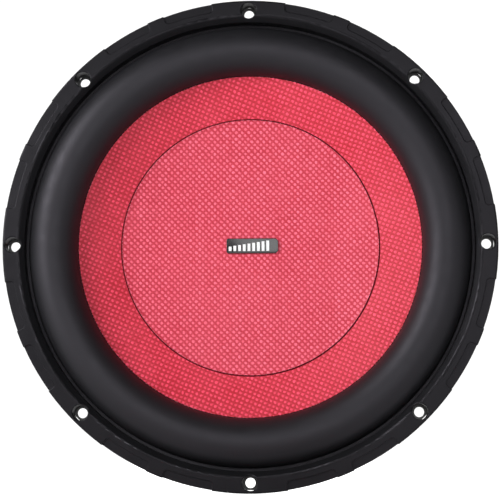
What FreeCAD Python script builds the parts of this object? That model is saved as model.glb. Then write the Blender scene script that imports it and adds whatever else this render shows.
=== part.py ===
import FreeCAD, Part
import math
import os

# A twelve-inch subwoofer driver for a car, in millimetres, with +Z up. The speaker's axis is Y and
# its face looks along -Y. The origin is on the axis, in the plane where the flange meets the baffle.
# A profile point is (radius, height): height counts forward from that plane, so y = -height.
# Angles run from +X towards +Z, anticlockwise to someone who faces the cone.

# motor
pole_radius = 24.9
pole_vent_radius = 11.0
pole_rise = 1.5               # how far the pole stands in front of the top plate
coil_clearance = 0.5          # pole to former
former_wall = 0.25
former_overhang = 2.5         # former left bare below the winding
winding_layer = 0.6           # each of the two windings
coil_height = 30.0
plate_clearance = 0.65        # winding to top plate
top_plate_radius = 75.0
top_plate_thickness = 8.0
magnet_radius = 78.0
magnet_bore_radius = 40.0
magnet_thickness = 20.0       # each of the two rings
back_plate_radius = 74.0
back_plate_thickness = 8.0
bump_radius = 48.0            # raised middle of the back plate
bump_height = 6.0
bump_slope = 5.0
screen_ledge = 3.0            # step around the vent that the screen sits on
screen_thickness = 1.0
boot_wall = 2.9
boot_fit = 0.1
boot_lip_radius = 60.0
boot_lip_thickness = 2.4
boot_edge_radius = 4.0

# cone, cap and badge
cone_radius = 110.0
cone_angle = 18.0
cone_edge_drop = 0.6          # cone's front edge below the middle of the roll
skin_thickness = 0.5
pulp_thickness = 1.1
neck_length = 4.0
neck_wall = 1.5
glue_gap = 0.05
bead_size = 2.2
cap_radius = 82.8
cap_thickness = 0.8
cap_lip = 2.5
cap_depth = 5.0
cap_flat_margin = 0.6         # flat seat around the badge
badge_length = 33.5
badge_width = 9.7
badge_thickness = 1.4
badge_left_corner = 1.2
badge_right_corner = 2.6
badge_right = 1.2               # badge's middle, off the axis
badge_up = 1.1
bar_count = 9
bar_width = 1.8
bar_pitch = 3.05
bar_lowest = 3.0
bar_highest = 6.8
bar_height = 0.35
bar_margin = 1.4              # lower edge of the badge to the foot of the bars
bar_shift = -2.2              # middle of the bars from the middle of the badge

# surround
surround_thickness = 1.2
roll_radius = 15.0
foot_gap = 0.4                # cone edge to roll
foot_radius = 1.1
surround_lip = 4.6            # clamped lip beyond the roll's outer foot
cone_lip = 8.5                # lip glued behind the cone
lip_gap = 0.2

# trim ring and flange
roll_clearance = 2.1          # roll to trim ring
ring_height = 13.7            # above the flange
ring_chamfer = 3.8
ring_chamfer_drop = 3.4
ring_ridge_round = 0.9
ring_face_drop = 1.0
ring_edge_round = 1.2
ring_skirt = 1.8
flange_fit = 0.2
well_radius = 5.0             # screw wells in the trim ring
well_wall = 0.4
ring_outer_wall = 1.5
bolt_count = 8
bolt_hole_radius = 3.2
pocket_inset = 6.0            # pockets in the trim ring, two between each pair of wells
pocket_depth = 1.2
pocket_angle = 11.7
pocket_spread = 7.9
pocket_corner = 2.4
pocket_notch = 0.45
well_round = 0.5              # eased edge at the mouth of a well
pocket_round = 0.35

# basket
sheet = 1.6
rim_setback = 1.0             # rim inside the roll's outer foot
rim_depth = 16.0
flange_bend = 2.3
rim_bend = 6.0
leg_count = 6
window_angle = 44.0
window_top = 5.0              # solid sheet left at each end of a leg
window_bottom = 6.0
window_corner = 9.0
rib_width = 8.0
rib_height = 2.0
spider_drop = 14.2            # cone's neck to the shelf that the spider sits on
shelf_margin = 1.5            # shelf outside the spider
shelf_bend = 3.0
spider_radius = 94.0
spider_seat = 8.0
cup_depth = 22.0
cup_taper = 6.0
cup_bend = 3.0
floor_hole_radius = 34.0
slot_count = 12
slot_width = 16.0
slot_height = 8.0
slot_corner = 3.5
plate_screw_count = 6
plate_screw_circle = 58.0
plate_screw_radius = 2.45
plate_screw_head = 4.5
plate_screw_head_height = 2.8
plate_screw_bite = 6.0
screw_fit = 0.05
screw_socket = 1.6
screw_socket_depth = 1.6

# spider and leads
spider_thickness = 0.6
spider_gap = 0.65             # former to the middle of the spider's collar
spider_collar = 5.2
wave_pitch = 9.2
wave_height = 5.6
wave_radius = 1.7
lead_width = 2.2
lead_thickness = 0.8
lead_offset = 3.5             # each side of the speaker's centre plane
leadout_wall = 0.25

# push terminals, one block on the leg at each side
terminal_rise = 18.85         # from the shelf's corner up the leg to the middle of the block
terminal_plate = 3.0
terminal_inner_end = 17.0
terminal_outer_end = 24.0
terminal_half_width = 11.0
terminal_corner = 3.0
post_spacing = 7.6
post_half_length = 7.0
post_half_width = 8.0
post_corner = 2.5
post_height = 12.0
post_bore_radius = 4.7
post_floor = 2.0
plunger_fit = 0.1
plunger_pocket_radius = 3.2
plunger_waist_radius = 4.0
plunger_waist = 4.4
plunger_pocket = 3.0
button_travel = 4.0
button_spare = 0.3
button_cap_radius = 6.2
button_cap_height = 2.5
wire_hole_radius = 2.3
wire_hole_height = 8.5
cross_hole_rise = 4.0         # button's cross hole meets the wire hole when pressed
spring_wall = 0.8
spring_fit = 0.2
contact_thickness = 0.6
contact_width = 3.0
contact_pin_radius = 0.8
boss_half_length = 12.0
boss_half_width = 6.0
boss_fit = 0.15
board_thickness = 1.0
board_gap = 0.35              # flat board behind the leg's hollow side
board_half_width = 7.0
terminal_screw_place = 20.5
terminal_screw_radius = 1.75
terminal_screw_head = 3.4
terminal_screw_head_height = 2.0
terminal_screw_tip = 3.0

# radii that follow, from the pole outwards
former_inner = pole_radius + coil_clearance
former_outer = former_inner + former_wall
winding_outer = former_outer + 2 * winding_layer
plate_bore = winding_outer + plate_clearance
roll_inner_foot = cone_radius + foot_gap + surround_thickness / 2
roll_centre = roll_inner_foot + roll_radius
roll_outer_foot = roll_centre + roll_radius
lip_outer = roll_outer_foot + surround_lip
ring_inner = roll_outer_foot + surround_thickness / 2 + roll_clearance
bolt_circle = lip_outer + well_wall + well_radius
ring_outer = bolt_circle + well_radius + ring_outer_wall
flange_outer = ring_outer - ring_skirt - flange_fit
rim_outer = roll_outer_foot - rim_setback

# heights that follow, from the flange forwards and backwards
lip_height = sheet + surround_thickness / 2
roll_height = lip_height + foot_radius
cone_edge = roll_height - cone_edge_drop
ring_front = sheet + ring_height
cone_slope = math.tan(math.radians(cone_angle))
cone_neck = former_outer + glue_gap + neck_wall
cone_back = (cone_edge - (cone_radius - cone_neck) * cone_slope
             - skin_thickness - pulp_thickness - neck_length)
shelf_depth = spider_drop - cone_back
floor_back = -shelf_depth - cup_depth
plate_back = floor_back - top_plate_thickness
magnets_back = plate_back - 2 * magnet_thickness
yoke_back = magnets_back - back_plate_thickness
speaker_back = yoke_back - bump_height
shelf_front = -shelf_depth + sheet
spider_height = shelf_front + glue_gap + spider_thickness / 2
coil_middle = floor_back - top_plate_thickness / 2
former_back = coil_middle - coil_height / 2 - former_overhang

ORIGIN = FreeCAD.Vector(0, 0, 0)
TURN = FreeCAD.Vector(0, -1, 0)
FULL = 360.0
FAR = 30.0                    # spare length of a cutting tool
SMALLEST_RUN = 1e-6


# ---- outlines ----

def at(radius, height):
    return FreeCAD.Vector(radius, -height, 0)


# Points joined by straight runs. A pair of points stands for an arc through the first to the second.
# Two arcs that meet leave no run between them.
def outline(moves):
    edges = []
    here = at(*moves[0])
    for move in moves[1:] + [moves[0]]:
        if isinstance(move[0], tuple):
            middle, end = at(*move[0]), at(*move[1])
            edges.append(Part.Arc(here, middle, end).toShape())
            here = end
        elif here.distanceToPoint(at(*move)) > SMALLEST_RUN:
            edges.append(Part.LineSegment(here, at(*move)).toShape())
            here = at(*move)
    return Part.Face(Part.Wire(edges))


def unit(start, end):
    length = math.hypot(end[0] - start[0], end[1] - start[1])
    return ((end[0] - start[0]) / length, (end[1] - start[1]) / length)


def move_by(point, direction, distance):
    return (point[0] + direction[0] * distance, point[1] + direction[1] * distance)


def left_of(direction):
    return (-direction[1], direction[0])


# One side of a bent sheet: the line's points moved to the left by offset, with each corner an arc.
def side_of(points, radii, offset):
    moves = [move_by(points[0], left_of(unit(points[0], points[1])), offset)]
    for before, corner, after, radius in zip(points, points[1:], points[2:], radii):
        inward, outward = unit(before, corner), unit(corner, after)
        cross = inward[0] * outward[1] - inward[1] * outward[0]
        dot = inward[0] * outward[0] + inward[1] * outward[1]
        side = 1.0 if cross > 0 else -1.0
        setback = radius * math.tan(abs(math.atan2(cross, dot)) / 2)
        first = move_by(corner, inward, -setback)
        last = move_by(corner, outward, setback)
        centre = move_by(first, left_of(inward), radius * side)
        middle = move_by(centre, unit(centre, corner), radius - offset * side)
        moves.append(move_by(first, left_of(inward), offset))
        moves.append((middle, move_by(last, left_of(outward), offset)))
    moves.append(move_by(points[-1], left_of(unit(points[-2], points[-1])), offset))
    return moves


def reverse_side(moves):
    ends = [move[1] if isinstance(move[0], tuple) else move for move in moves]
    back = [ends[-1]]
    for place in range(len(moves) - 1, 0, -1):
        move, end = moves[place], ends[place - 1]
        back.append((move[0], end) if isinstance(move[0], tuple) else end)
    return back


# The section of a bent sheet that lies between two distances to the left of a line.
def bent_sheet(points, radii, low, high):
    return outline(side_of(points, radii, low) + reverse_side(side_of(points, radii, high)))


# ---- solids ----

def turned(face, start=0.0, sweep=FULL):
    shape = face.revolve(ORIGIN, TURN, sweep)
    return shape if start == 0.0 else around(shape, start)


def around(shape, angle):
    return shape.rotated(ORIGIN, TURN, angle)


def ring_of(shape, count, first=0.0):
    return [around(shape, first + FULL * step / count) for step in range(count)]


def tube(inner, outer, low, high):
    return turned(outline([(inner, low), (outer, low), (outer, high), (inner, high)]))


def rod(radius, low, high, where=(0.0, 0.0)):
    base = FreeCAD.Vector(where[0], -low, where[1])
    return Part.makeCylinder(radius, high - low, base, FreeCAD.Vector(0, -1, 0))


def fillet_along(shape, direction, radius):
    picked = []
    for edge in shape.Edges:
        if edge.Curve.TypeId != "Part::GeomLine":
            continue
        run = edge.tangentAt(edge.FirstParameter)
        if abs(run.dot(direction)) > 0.999:
            picked.append(edge)
    return shape.makeFillet(radius, picked)


def cut_all(shape, tools):
    return shape.cut(tools)


def save(name, *solids):
    shape = solids[0] if len(solids) == 1 else Part.makeCompound(list(solids))
    shape.exportStep(f"parts/{name}.step")
    print(name, len(shape.Solids), round(shape.Volume), shape.isValid())


# ---- basket ----

def leg_points():
    rim_middle = rim_outer - sheet / 2
    shelf_outer = spider_radius + shelf_margin
    return (rim_middle, -rim_depth), (shelf_outer, -shelf_depth + sheet / 2)


def basket_line():
    leg_top, leg_bottom = leg_points()
    cup_top = spider_radius - spider_seat - shelf_margin
    return [
        (flange_outer, sheet / 2),
        (leg_top[0], sheet / 2),
        leg_top,
        leg_bottom,
        (cup_top, leg_bottom[1]),
        (cup_top - cup_taper, floor_back + sheet / 2),
        (floor_hole_radius, floor_back + sheet / 2),
    ]


def basket():
    bends = [flange_bend, rim_bend, shelf_bend, cup_bend, cup_bend]
    body = turned(bent_sheet(basket_line(), bends, -sheet / 2, sheet / 2))
    top, bottom = leg_points()
    down = unit(top, bottom)
    rib_line = [move_by(top, down, window_top), move_by(bottom, down, -window_bottom)]
    rib = turned(bent_sheet(rib_line, [], -sheet / 2, sheet / 2 + rib_height), -8.0, 16.0)
    slab = Part.makeBox(ring_outer, ring_outer, rib_width,
                        FreeCAD.Vector(0, 0, -rib_width / 2))
    rib = rib.common(slab)
    step = FULL / leg_count
    for leg in range(leg_count):
        if leg % (leg_count // 2):
            body = body.fuse(around(rib, leg * step))
    window = turned(bent_sheet(rib_line, [], -FAR / 2, FAR / 2), -window_angle / 2, window_angle)
    across = left_of(down)
    for end in (-1, 1):
        edge_way = around(Part.makeLine(ORIGIN, at(*across)), end * window_angle / 2)
        direction = edge_way.tangentAt(edge_way.FirstParameter)
        window = fillet_along(window, direction, window_corner)
    tools = ring_of(window, leg_count, step / 2)
    slot_middle = -shelf_depth - cup_depth / 2
    slot_radius = spider_radius - spider_seat - shelf_margin - cup_taper / 2
    slot = Part.makeBox(FAR, slot_height, slot_width,
                        FreeCAD.Vector(slot_radius - FAR / 2, -slot_middle - slot_height / 2,
                                       -slot_width / 2))
    slot = fillet_along(slot, FreeCAD.Vector(1, 0, 0), slot_corner)
    tools += ring_of(slot, slot_count, FULL / slot_count / 2)
    tools += ring_of(rod(bolt_hole_radius, -1.0, FAR, (bolt_circle, 0.0)), bolt_count)
    tools += ring_of(rod(plate_screw_radius + screw_fit, floor_back - 1.0, shelf_front,
                         (plate_screw_circle, 0.0)), plate_screw_count, step / 2)
    opening = terminal_box(-boss_half_length - boss_fit, boss_half_length + boss_fit,
                           boss_half_width + boss_fit, -sheet - 1.0, 1.0)
    screw_hole = terminal_rod(terminal_screw_place, 0.0,
                              terminal_screw_radius + screw_fit, -FAR / 2, 1.0)
    for side in (0.0, FULL / 2):
        tools += [on_leg(opening, side), on_leg(screw_hole, side)]
    return cut_all(body, tools)


# ---- trim ring ----

def ring_face_height(radius):
    ridge = ring_inner + ring_chamfer
    share = (radius - ridge) / (ring_outer - ridge)
    return ring_front - ring_face_drop * share


def trim_ring():
    ridge = ring_inner + ring_chamfer
    edge_top = ring_face_height(ring_outer - ring_edge_round)
    lift = ring_edge_round * (1 - math.sqrt(0.5))
    ledge = sheet + surround_thickness
    lip_step = lip_outer + glue_gap
    chamfer_top = (ridge - ring_ridge_round, ring_front - ring_ridge_round * 0.55)
    ring = turned(outline([
        (ring_inner, ledge),
        (ring_inner, ring_front - ring_chamfer_drop),
        chamfer_top,
        ((ridge - ring_ridge_round * 0.35, ring_front - ring_ridge_round * 0.08),
         (ridge + ring_ridge_round, ring_face_height(ridge + ring_ridge_round))),
        (ring_outer - ring_edge_round, edge_top),
        ((ring_outer - lift, edge_top - lift), (ring_outer, edge_top - ring_edge_round)),
        (ring_outer, 0.0),
        (ring_outer - ring_skirt, 0.0),
        (ring_outer - ring_skirt, sheet),
        (lip_step, sheet),
        (lip_step, ledge),
    ]))
    inner = ring_outer - pocket_inset
    beyond = ring_outer + FAR
    pocket = turned(outline([
        (inner, ring_face_height(inner) - pocket_depth),
        (beyond, ring_face_height(beyond) - pocket_depth),
        (beyond, ring_front + FAR),
        (inner, ring_front + FAR),
    ]), -pocket_angle / 2, pocket_angle)
    pocket = fillet_along(pocket, FreeCAD.Vector(0, 1, 0), pocket_corner)
    notch = turned(outline([
        (ring_outer - pocket_notch, -1.0), (beyond, -1.0),
        (beyond, ring_front), (ring_outer - pocket_notch, ring_front),
    ]), -pocket_angle / 2, pocket_angle)
    tools = ring_of(rod(well_radius, -1.0, ring_front + FAR, (bolt_circle, 0.0)), bolt_count)
    middle = FULL / bolt_count / 2
    for spread in (-pocket_spread, pocket_spread):
        tools += ring_of(pocket, bolt_count, middle + spread)
        tools += ring_of(notch, bolt_count, middle + spread)
    ring = cut_all(ring, tools)
    ring = ring.makeFillet(well_round, well_mouths(ring))
    return ring.makeFillet(pocket_round, pocket_mouths(ring))


def edge_samples(edge):
    span = edge.LastParameter - edge.FirstParameter
    return [edge.valueAt(edge.FirstParameter + span * step / 4) for step in range(5)]


# Degrees from the nearest of the places that come round count times, the first at the given angle.
def off_place(point, count, first):
    step = FULL / count
    turn = math.degrees(math.atan2(point.z, point.x)) - first
    return turn - step * round(turn / step)


def well_mouths(ring):
    found = []
    for edge in ring.Edges:
        points = edge_samples(edge)
        offsets = [math.radians(off_place(point, bolt_count, 0.0)) for point in points]
        radii = [math.hypot(point.x, point.z) for point in points]
        away = [math.hypot(radius * math.cos(turn) - bolt_circle, radius * math.sin(turn))
                for radius, turn in zip(radii, offsets)]
        front = min(-point.y for point in points) > ring_front - 2 * pocket_depth
        if front and all(abs(gap - well_radius) < 0.01 for gap in away):
            found.append(edge)
    return found


def pocket_mouths(ring):
    found = []
    middle = FULL / bolt_count / 2
    for edge in ring.Edges:
        points = edge_samples(edge)
        radii = [math.hypot(point.x, point.z) for point in points]
        on_face = all(abs(-point.y - ring_face_height(radius)) < 0.05
                      for point, radius in zip(points, radii))
        turns = [abs(off_place(point, bolt_count, middle)) for point in points]
        beside = all(abs(turn - pocket_spread) < pocket_angle / 2 + 0.05 for turn in turns)
        if on_face and beside and max(radii) < ring_outer - ring_edge_round / 2:
            found.append(edge)
    return found


# ---- surround, cone and cap ----

# Height of the cone's front surface.
def cone_front(radius):
    return cone_edge - (cone_radius - radius) * cone_slope


def surround():
    lip_drop = skin_thickness + pulp_thickness + lip_gap
    lip_middle = lip_drop + surround_thickness / 2 / math.cos(math.radians(cone_angle))
    lip_end = roll_inner_foot - cone_lip
    line = [
        (lip_outer, lip_height),
        (roll_outer_foot, lip_height),
        (roll_outer_foot, roll_height + roll_radius),
        (roll_inner_foot, roll_height + roll_radius),
        (roll_inner_foot, cone_front(roll_inner_foot) - lip_middle),
        (lip_end, cone_front(lip_end) - lip_middle),
    ]
    bends = [foot_radius, roll_radius, roll_radius, foot_radius]
    return turned(bent_sheet(line, bends, -surround_thickness / 2, surround_thickness / 2))


def cone_layer(inner, high, low):
    return outline([
        (inner, cone_front(inner) - low), (cone_radius, cone_front(cone_radius) - low),
        (cone_radius, cone_front(cone_radius) - high), (inner, cone_front(inner) - high),
    ])


def cone_skin():
    return turned(cone_layer(former_outer + glue_gap, 0.0, skin_thickness))


def cone_body():
    inner = former_outer + glue_gap
    top = skin_thickness + glue_gap
    low = skin_thickness + pulp_thickness
    return turned(outline([
        (inner, cone_front(inner) - top), (cone_radius, cone_front(cone_radius) - top),
        (cone_radius, cone_front(cone_radius) - low),
        (cone_neck, cone_front(cone_neck) - low),
        (cone_neck, cone_back), (inner, cone_back),
    ]))


def cap_centre_height():
    return cone_front(cap_radius - cap_lip) + glue_gap + cap_thickness - cap_depth


def dust_cap():
    lip = cap_radius - cap_lip
    seat = math.hypot(badge_length / 2 + badge_right, badge_width / 2 + badge_up) + cap_flat_margin
    lip_top = cone_front(lip) + glue_gap + cap_thickness
    centre = cap_centre_height()
    width, rise = lip - seat, lip_top - centre
    bowl = (width * width + rise * rise) / (2 * rise)
    middle = seat + width / 2
    middle_top = centre + bowl - math.sqrt(bowl * bowl - width * width / 4)
    rim = cone_front(cap_radius) + glue_gap
    return turned(outline([
        (0.0, centre), (seat, centre),
        ((middle, middle_top), (lip, lip_top)),
        (cap_radius, rim + cap_thickness), (cap_radius, rim),
        (lip, lip_top - cap_thickness),
        ((middle, middle_top - cap_thickness), (seat, centre - cap_thickness)),
        (0.0, centre - cap_thickness),
    ]))


def badge_plate():
    seat = cap_centre_height()
    plate = Part.makeBox(badge_length, badge_thickness, badge_width,
                         FreeCAD.Vector(badge_right - badge_length / 2, -seat - badge_thickness,
                                        badge_up - badge_width / 2))
    left = [e for e in plate.Edges if is_upright(e) and e.CenterOfMass.x < badge_right]
    plate = plate.makeFillet(badge_left_corner, left)
    far = badge_right + badge_length / 2 - 0.01
    right = [e for e in plate.Edges if is_upright(e) and e.CenterOfMass.x > far]
    return plate.makeFillet(badge_right_corner, right)


def is_upright(edge):
    run = edge.valueAt(edge.LastParameter) - edge.valueAt(edge.FirstParameter)
    return edge.Curve.TypeId == "Part::GeomLine" and abs(run.y) > 0.9 * edge.Length


def badge_bars():
    seat = cap_centre_height() + badge_thickness
    foot = badge_up + bar_margin - badge_width / 2
    middle = badge_right + bar_shift
    bars = []
    for place in range(bar_count):
        tall = bar_lowest + (bar_highest - bar_lowest) * place / (bar_count - 1)
        left = middle + (place - (bar_count - 1) / 2) * bar_pitch - bar_width / 2
        bars.append(Part.makeBox(bar_width, bar_height, tall,
                                 FreeCAD.Vector(left, -seat - bar_height, foot)))
    return bars


# ---- voice coil ----

def former_front():
    return cone_front(former_outer) + bead_size * 0.8


def neck_bead():
    inner = former_outer + glue_gap
    return turned(outline([
        (inner, cone_front(inner) + glue_gap),
        (inner + bead_size, cone_front(inner + bead_size) + glue_gap),
        (inner, cone_front(inner) + bead_size * 0.7),
    ]))


def spider_bead():
    inner = former_outer + glue_gap
    low = spider_line()[0][1] + 0.6
    return turned(outline([(inner, low), (inner + bead_size / 2, low), (inner, low + bead_size)]))


def coil_leadouts():
    top, bottom = spider_line()[0][1] - 1.0, coil_middle + coil_height / 2
    wall = tube(former_outer + 0.01, former_outer + leadout_wall, bottom + glue_gap, top)
    strips = []
    for side in (-1, 1):
        for offset in (-lead_offset, lead_offset):
            x = side * former_outer
            box = Part.makeBox(former_outer, 2 * FAR, lead_width / 2,
                               FreeCAD.Vector(min(x, 0.0), -top - 0.0, offset - lead_width / 4))
            strips.append(wall.common(box))
    return strips


# ---- spider and leads ----

def spider_line():
    collar = former_outer + spider_gap
    low, high = spider_height - wave_height / 2, spider_height + wave_height / 2
    first = collar + wave_pitch / 2
    last = spider_radius - spider_seat - shelf_bend - wave_pitch / 2
    halves = 2 * int((last - first) / wave_pitch) + 1
    step = (last - first) / halves
    points = [(collar, low + spider_collar), (collar, low)]
    for place in range(halves + 1):
        points.append((first + place * step, low if place % 2 else high))
    lip = spider_radius - spider_seat - shelf_bend
    return points + [(lip, spider_height), (spider_radius, spider_height)]


def spider():
    line = spider_line()
    bends = [wave_radius / 2] + [wave_radius] * (len(line) - 3)
    return turned(bent_sheet(line, bends, -spider_thickness / 2, spider_thickness / 2))


def tinsel_leads(side):
    line = spider_line()[2:]
    line = [move_by(line[0], unit(line[0], spider_line()[1]), wave_pitch / 4)] + line
    line[-1] = (spider_radius - glue_gap, spider_height)
    bends = [wave_radius] * (len(line) - 2)
    low = spider_thickness / 2 + glue_gap
    wedge = turned(bent_sheet(line, bends, low, low + lead_thickness), side - 14.0, 28.0)
    leads = []
    for offset in (-lead_offset, lead_offset):
        slab = Part.makeBox(ring_outer, FAR * 2, lead_width,
                            FreeCAD.Vector(0, -spider_height - FAR, offset - lead_width / 2))
        leads.append(wedge.common(around(slab, side)))
    return leads


# ---- motor ----

def top_plate():
    plate = tube(plate_bore, top_plate_radius, plate_back, floor_back)
    holes = ring_of(rod(plate_screw_radius + screw_fit, floor_back - plate_screw_bite - 0.5,
                        floor_back + 1.0, (plate_screw_circle, 0.0)),
                    plate_screw_count, FULL / leg_count / 2)
    return cut_all(plate, holes)


def yoke():
    pole_top = floor_back + pole_rise
    mouth = pole_vent_radius + screen_ledge
    return turned(outline([
        (pole_vent_radius, pole_top - 1.0),
        (pole_vent_radius + 1.0, pole_top),
        (pole_radius - 1.0, pole_top),
        (pole_radius, pole_top - 1.0),
        (pole_radius, magnets_back),
        (back_plate_radius, magnets_back),
        (back_plate_radius, yoke_back + 1.0),
        (back_plate_radius - 1.0, yoke_back),
        (bump_radius, yoke_back),
        (bump_radius - bump_slope, speaker_back),
        (mouth, speaker_back),
        (mouth, speaker_back + screen_thickness + 0.2),
        (pole_vent_radius, speaker_back + screen_thickness + 0.2),
    ]))


def magnet_boot():
    inner = magnet_radius + boot_fit
    outer = inner + boot_wall
    back = yoke_back - boot_fit - boot_lip_thickness
    start = plate_back + 2.0
    round_part = boot_edge_radius * (1 - math.sqrt(0.5))
    return turned(outline([
        (inner, start), (outer, start),
        (outer, back + boot_edge_radius),
        ((outer - round_part, back + round_part), (outer - boot_edge_radius, back)),
        (boot_lip_radius, back), (boot_lip_radius, yoke_back - boot_fit),
        (inner, yoke_back - boot_fit),
    ]))


def plate_screws():
    seat = floor_back + sheet
    shank = rod(plate_screw_radius, floor_back - plate_screw_bite, seat,
                (plate_screw_circle, 0.0))
    head = rod(plate_screw_head, seat, seat + plate_screw_head_height, (plate_screw_circle, 0.0))
    socket = rod(screw_socket, seat + plate_screw_head_height - screw_socket_depth,
                 seat + FAR, (plate_screw_circle, 0.0))
    return ring_of(shank.fuse(head).cut(socket), plate_screw_count, FULL / leg_count / 2)


# ---- push terminals ----
# A terminal is made in its own axes and then set on a leg: x runs up the leg, y across it (-Z on
# the right-hand leg) and z out of the leg's back, from 0 at the sheet's outer face.

def leg_seat():
    top, bottom = leg_points()
    down = unit(top, bottom)
    back = left_of(down)
    centre = move_by(bottom, down, -terminal_rise)
    return move_by(centre, back, sheet / 2), (-down[0], -down[1]), back


def on_leg(shape, side):
    place, up, back = leg_seat()
    matrix = FreeCAD.Matrix()
    matrix.A11, matrix.A21, matrix.A31 = up[0], -up[1], 0.0
    matrix.A12, matrix.A22, matrix.A32 = 0.0, 0.0, -1.0
    matrix.A13, matrix.A23, matrix.A33 = back[0], -back[1], 0.0
    matrix.A14, matrix.A24, matrix.A34 = place[0], -place[1], 0.0
    placed = shape.copy()
    placed.Placement = FreeCAD.Placement(matrix).multiply(shape.Placement)
    return placed if side == 0.0 else around(placed, side)


def terminal_box(start, end, half_width, low, high):
    return Part.makeBox(end - start, 2 * half_width, high - low,
                        FreeCAD.Vector(start, -half_width, low))


def terminal_rod(x, y, radius, low, high):
    return Part.makeCylinder(radius, high - low, FreeCAD.Vector(x, y, low))


def wire_hole(x, height, start, length):
    return Part.makeCylinder(wire_hole_radius, length, FreeCAD.Vector(x, start, height),
                             FreeCAD.Vector(0, 1, 0))


def pin_place(post):
    return lead_offset if post > 0 else -lead_offset


def terminal_body():
    upright = FreeCAD.Vector(0, 0, 1)
    body = fillet_along(terminal_box(-terminal_inner_end, terminal_outer_end,
                                     terminal_half_width, 0.0, terminal_plate),
                        upright, terminal_corner)
    body = body.fuse(terminal_box(-boss_half_length, boss_half_length, boss_half_width,
                                  -sheet, 0.0))
    post_top = terminal_plate + post_height
    tools = [terminal_rod(terminal_screw_place, 0.0, terminal_screw_radius + screw_fit,
                          -FAR, FAR)]
    for post in (-post_spacing, post_spacing):
        block = terminal_box(post - post_half_length, post + post_half_length,
                             post_half_width, terminal_plate, post_top)
        body = body.fuse(fillet_along(block, upright, post_corner))
        tools.append(terminal_rod(post, 0.0, post_bore_radius, post_floor, FAR))
        tools.append(terminal_rod(post, pin_place(post), contact_pin_radius + screw_fit,
                                  -FAR, FAR))
        tools.append(wire_hole(post, wire_hole_height, 0.0, FAR))
    return cut_all(body, tools)


def terminal_board():
    top = -sheet - board_gap
    return terminal_box(-terminal_inner_end, boss_half_length + 1.0, board_half_width,
                        top - board_thickness, top).cut([
        terminal_rod(post, pin_place(post), contact_pin_radius + screw_fit, -FAR, FAR)
        for post in (-post_spacing, post_spacing)])


# A contact is a disc under the button's spring, a pin through the block and a strip down the inside
# of the leg, whose flat end lies over the spider's rim and holds the lead.
def terminal_contact(post):
    seat, up, back = leg_seat()
    board_back = -sheet - board_gap - board_thickness
    middle = board_back - contact_thickness / 2
    disc = terminal_rod(post, 0.0, post_bore_radius - screw_fit, post_floor,
                        post_floor + contact_thickness)
    pin = terminal_rod(post, pin_place(post), contact_pin_radius,
                       board_back - contact_thickness, post_floor)
    start = move_by(move_by(seat, back, middle), up, post + 2.0)
    flat = (spider_height + spider_thickness / 2 + 2 * glue_gap + lead_thickness
            + contact_thickness / 2)
    bend = move_by(start, up, (flat - start[1]) / up[1])
    face = bent_sheet([start, bend, (spider_radius - 3.0, flat)], [1.0],
                      -contact_thickness / 2, contact_thickness / 2)
    strip = face.extrude(FreeCAD.Vector(0, 0, contact_width))
    strip = strip.translated(FreeCAD.Vector(0, 0, -pin_place(post) - contact_width / 2))
    return disc.fuse(pin), strip


def terminal_contacts(side):
    solids = []
    for post in (-post_spacing, post_spacing):
        head, strip = terminal_contact(post)
        solids.append(on_leg(head, side).fuse(around(strip, side)))
    return solids


# A button's stem slides in its post. Its cross hole stands a stroke above the wire hole.
def push_button(post):
    post_top = terminal_plate + post_height
    cap_seat = post_top + button_travel + button_spare
    bottom = post_floor + contact_thickness + button_travel + button_spare
    guide = bottom + plunger_waist
    waist = terminal_rod(post, 0.0, plunger_waist_radius, bottom, guide)
    stem = terminal_rod(post, 0.0, post_bore_radius - plunger_fit, guide, cap_seat).fuse(waist)
    cap = terminal_rod(post, 0.0, button_cap_radius, cap_seat, cap_seat + button_cap_height)
    cap = cap.makeFillet(button_cap_height * 0.3, [cap.Edges[0]])
    pocket = terminal_rod(post, 0.0, plunger_pocket_radius, bottom - 1.0,
                          bottom + plunger_pocket)
    cross = wire_hole(post, wire_hole_height + cross_hole_rise, -FAR, 2 * FAR)
    return stem.fuse(cap).cut([pocket, cross])


def button_spring(post):
    low = post_floor + contact_thickness
    high = low + button_travel + button_spare + plunger_pocket
    outer = plunger_pocket_radius - spring_fit
    return terminal_rod(post, 0.0, outer, low, high - glue_gap).cut(
        terminal_rod(post, 0.0, outer - spring_wall, low - 1.0, high + 1.0))


def terminal_screw():
    head = terminal_rod(terminal_screw_place, 0.0, terminal_screw_head, terminal_plate,
                        terminal_plate + terminal_screw_head_height)
    shank = terminal_rod(terminal_screw_place, 0.0, terminal_screw_radius,
                         -sheet - terminal_screw_tip, terminal_plate)
    return head.fuse(shank)


# ---- every piece, each in its own file ----

os.makedirs("parts", exist_ok=True)

save("trim_ring", trim_ring())
save("basket", basket())
save("surround", surround())
save("cone_body", cone_body())
save("cone_skin", cone_skin())
save("dust_cap", dust_cap())
save("badge_plate", badge_plate())
save("badge_bars", *badge_bars())
save("coil_former", tube(former_inner, former_outer, former_back, former_front()))
for name, inner in (("inner", former_outer), ("outer", former_outer + winding_layer)):
    save(f"{name}_winding", tube(inner, inner + winding_layer,
                                 coil_middle - coil_height / 2, coil_middle + coil_height / 2))
save("coil_leadouts", *coil_leadouts())
save("neck_glue_bead", neck_bead())
save("spider_glue_bead", spider_bead())
save("spider", spider())
save("top_plate", top_plate())
save("front_magnet", tube(magnet_bore_radius, magnet_radius, plate_back - magnet_thickness,
                          plate_back))
save("rear_magnet", tube(magnet_bore_radius, magnet_radius, magnets_back,
                         magnets_back + magnet_thickness))
save("yoke", yoke())
save("vent_screen", rod(pole_vent_radius + screen_ledge - boot_fit, speaker_back + 0.2,
                        speaker_back + 0.2 + screen_thickness))
save("magnet_boot", magnet_boot())
save("plate_screws", *plate_screws())
save("terminal_screws", *[on_leg(terminal_screw(), side) for side in (0.0, FULL / 2)])
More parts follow.
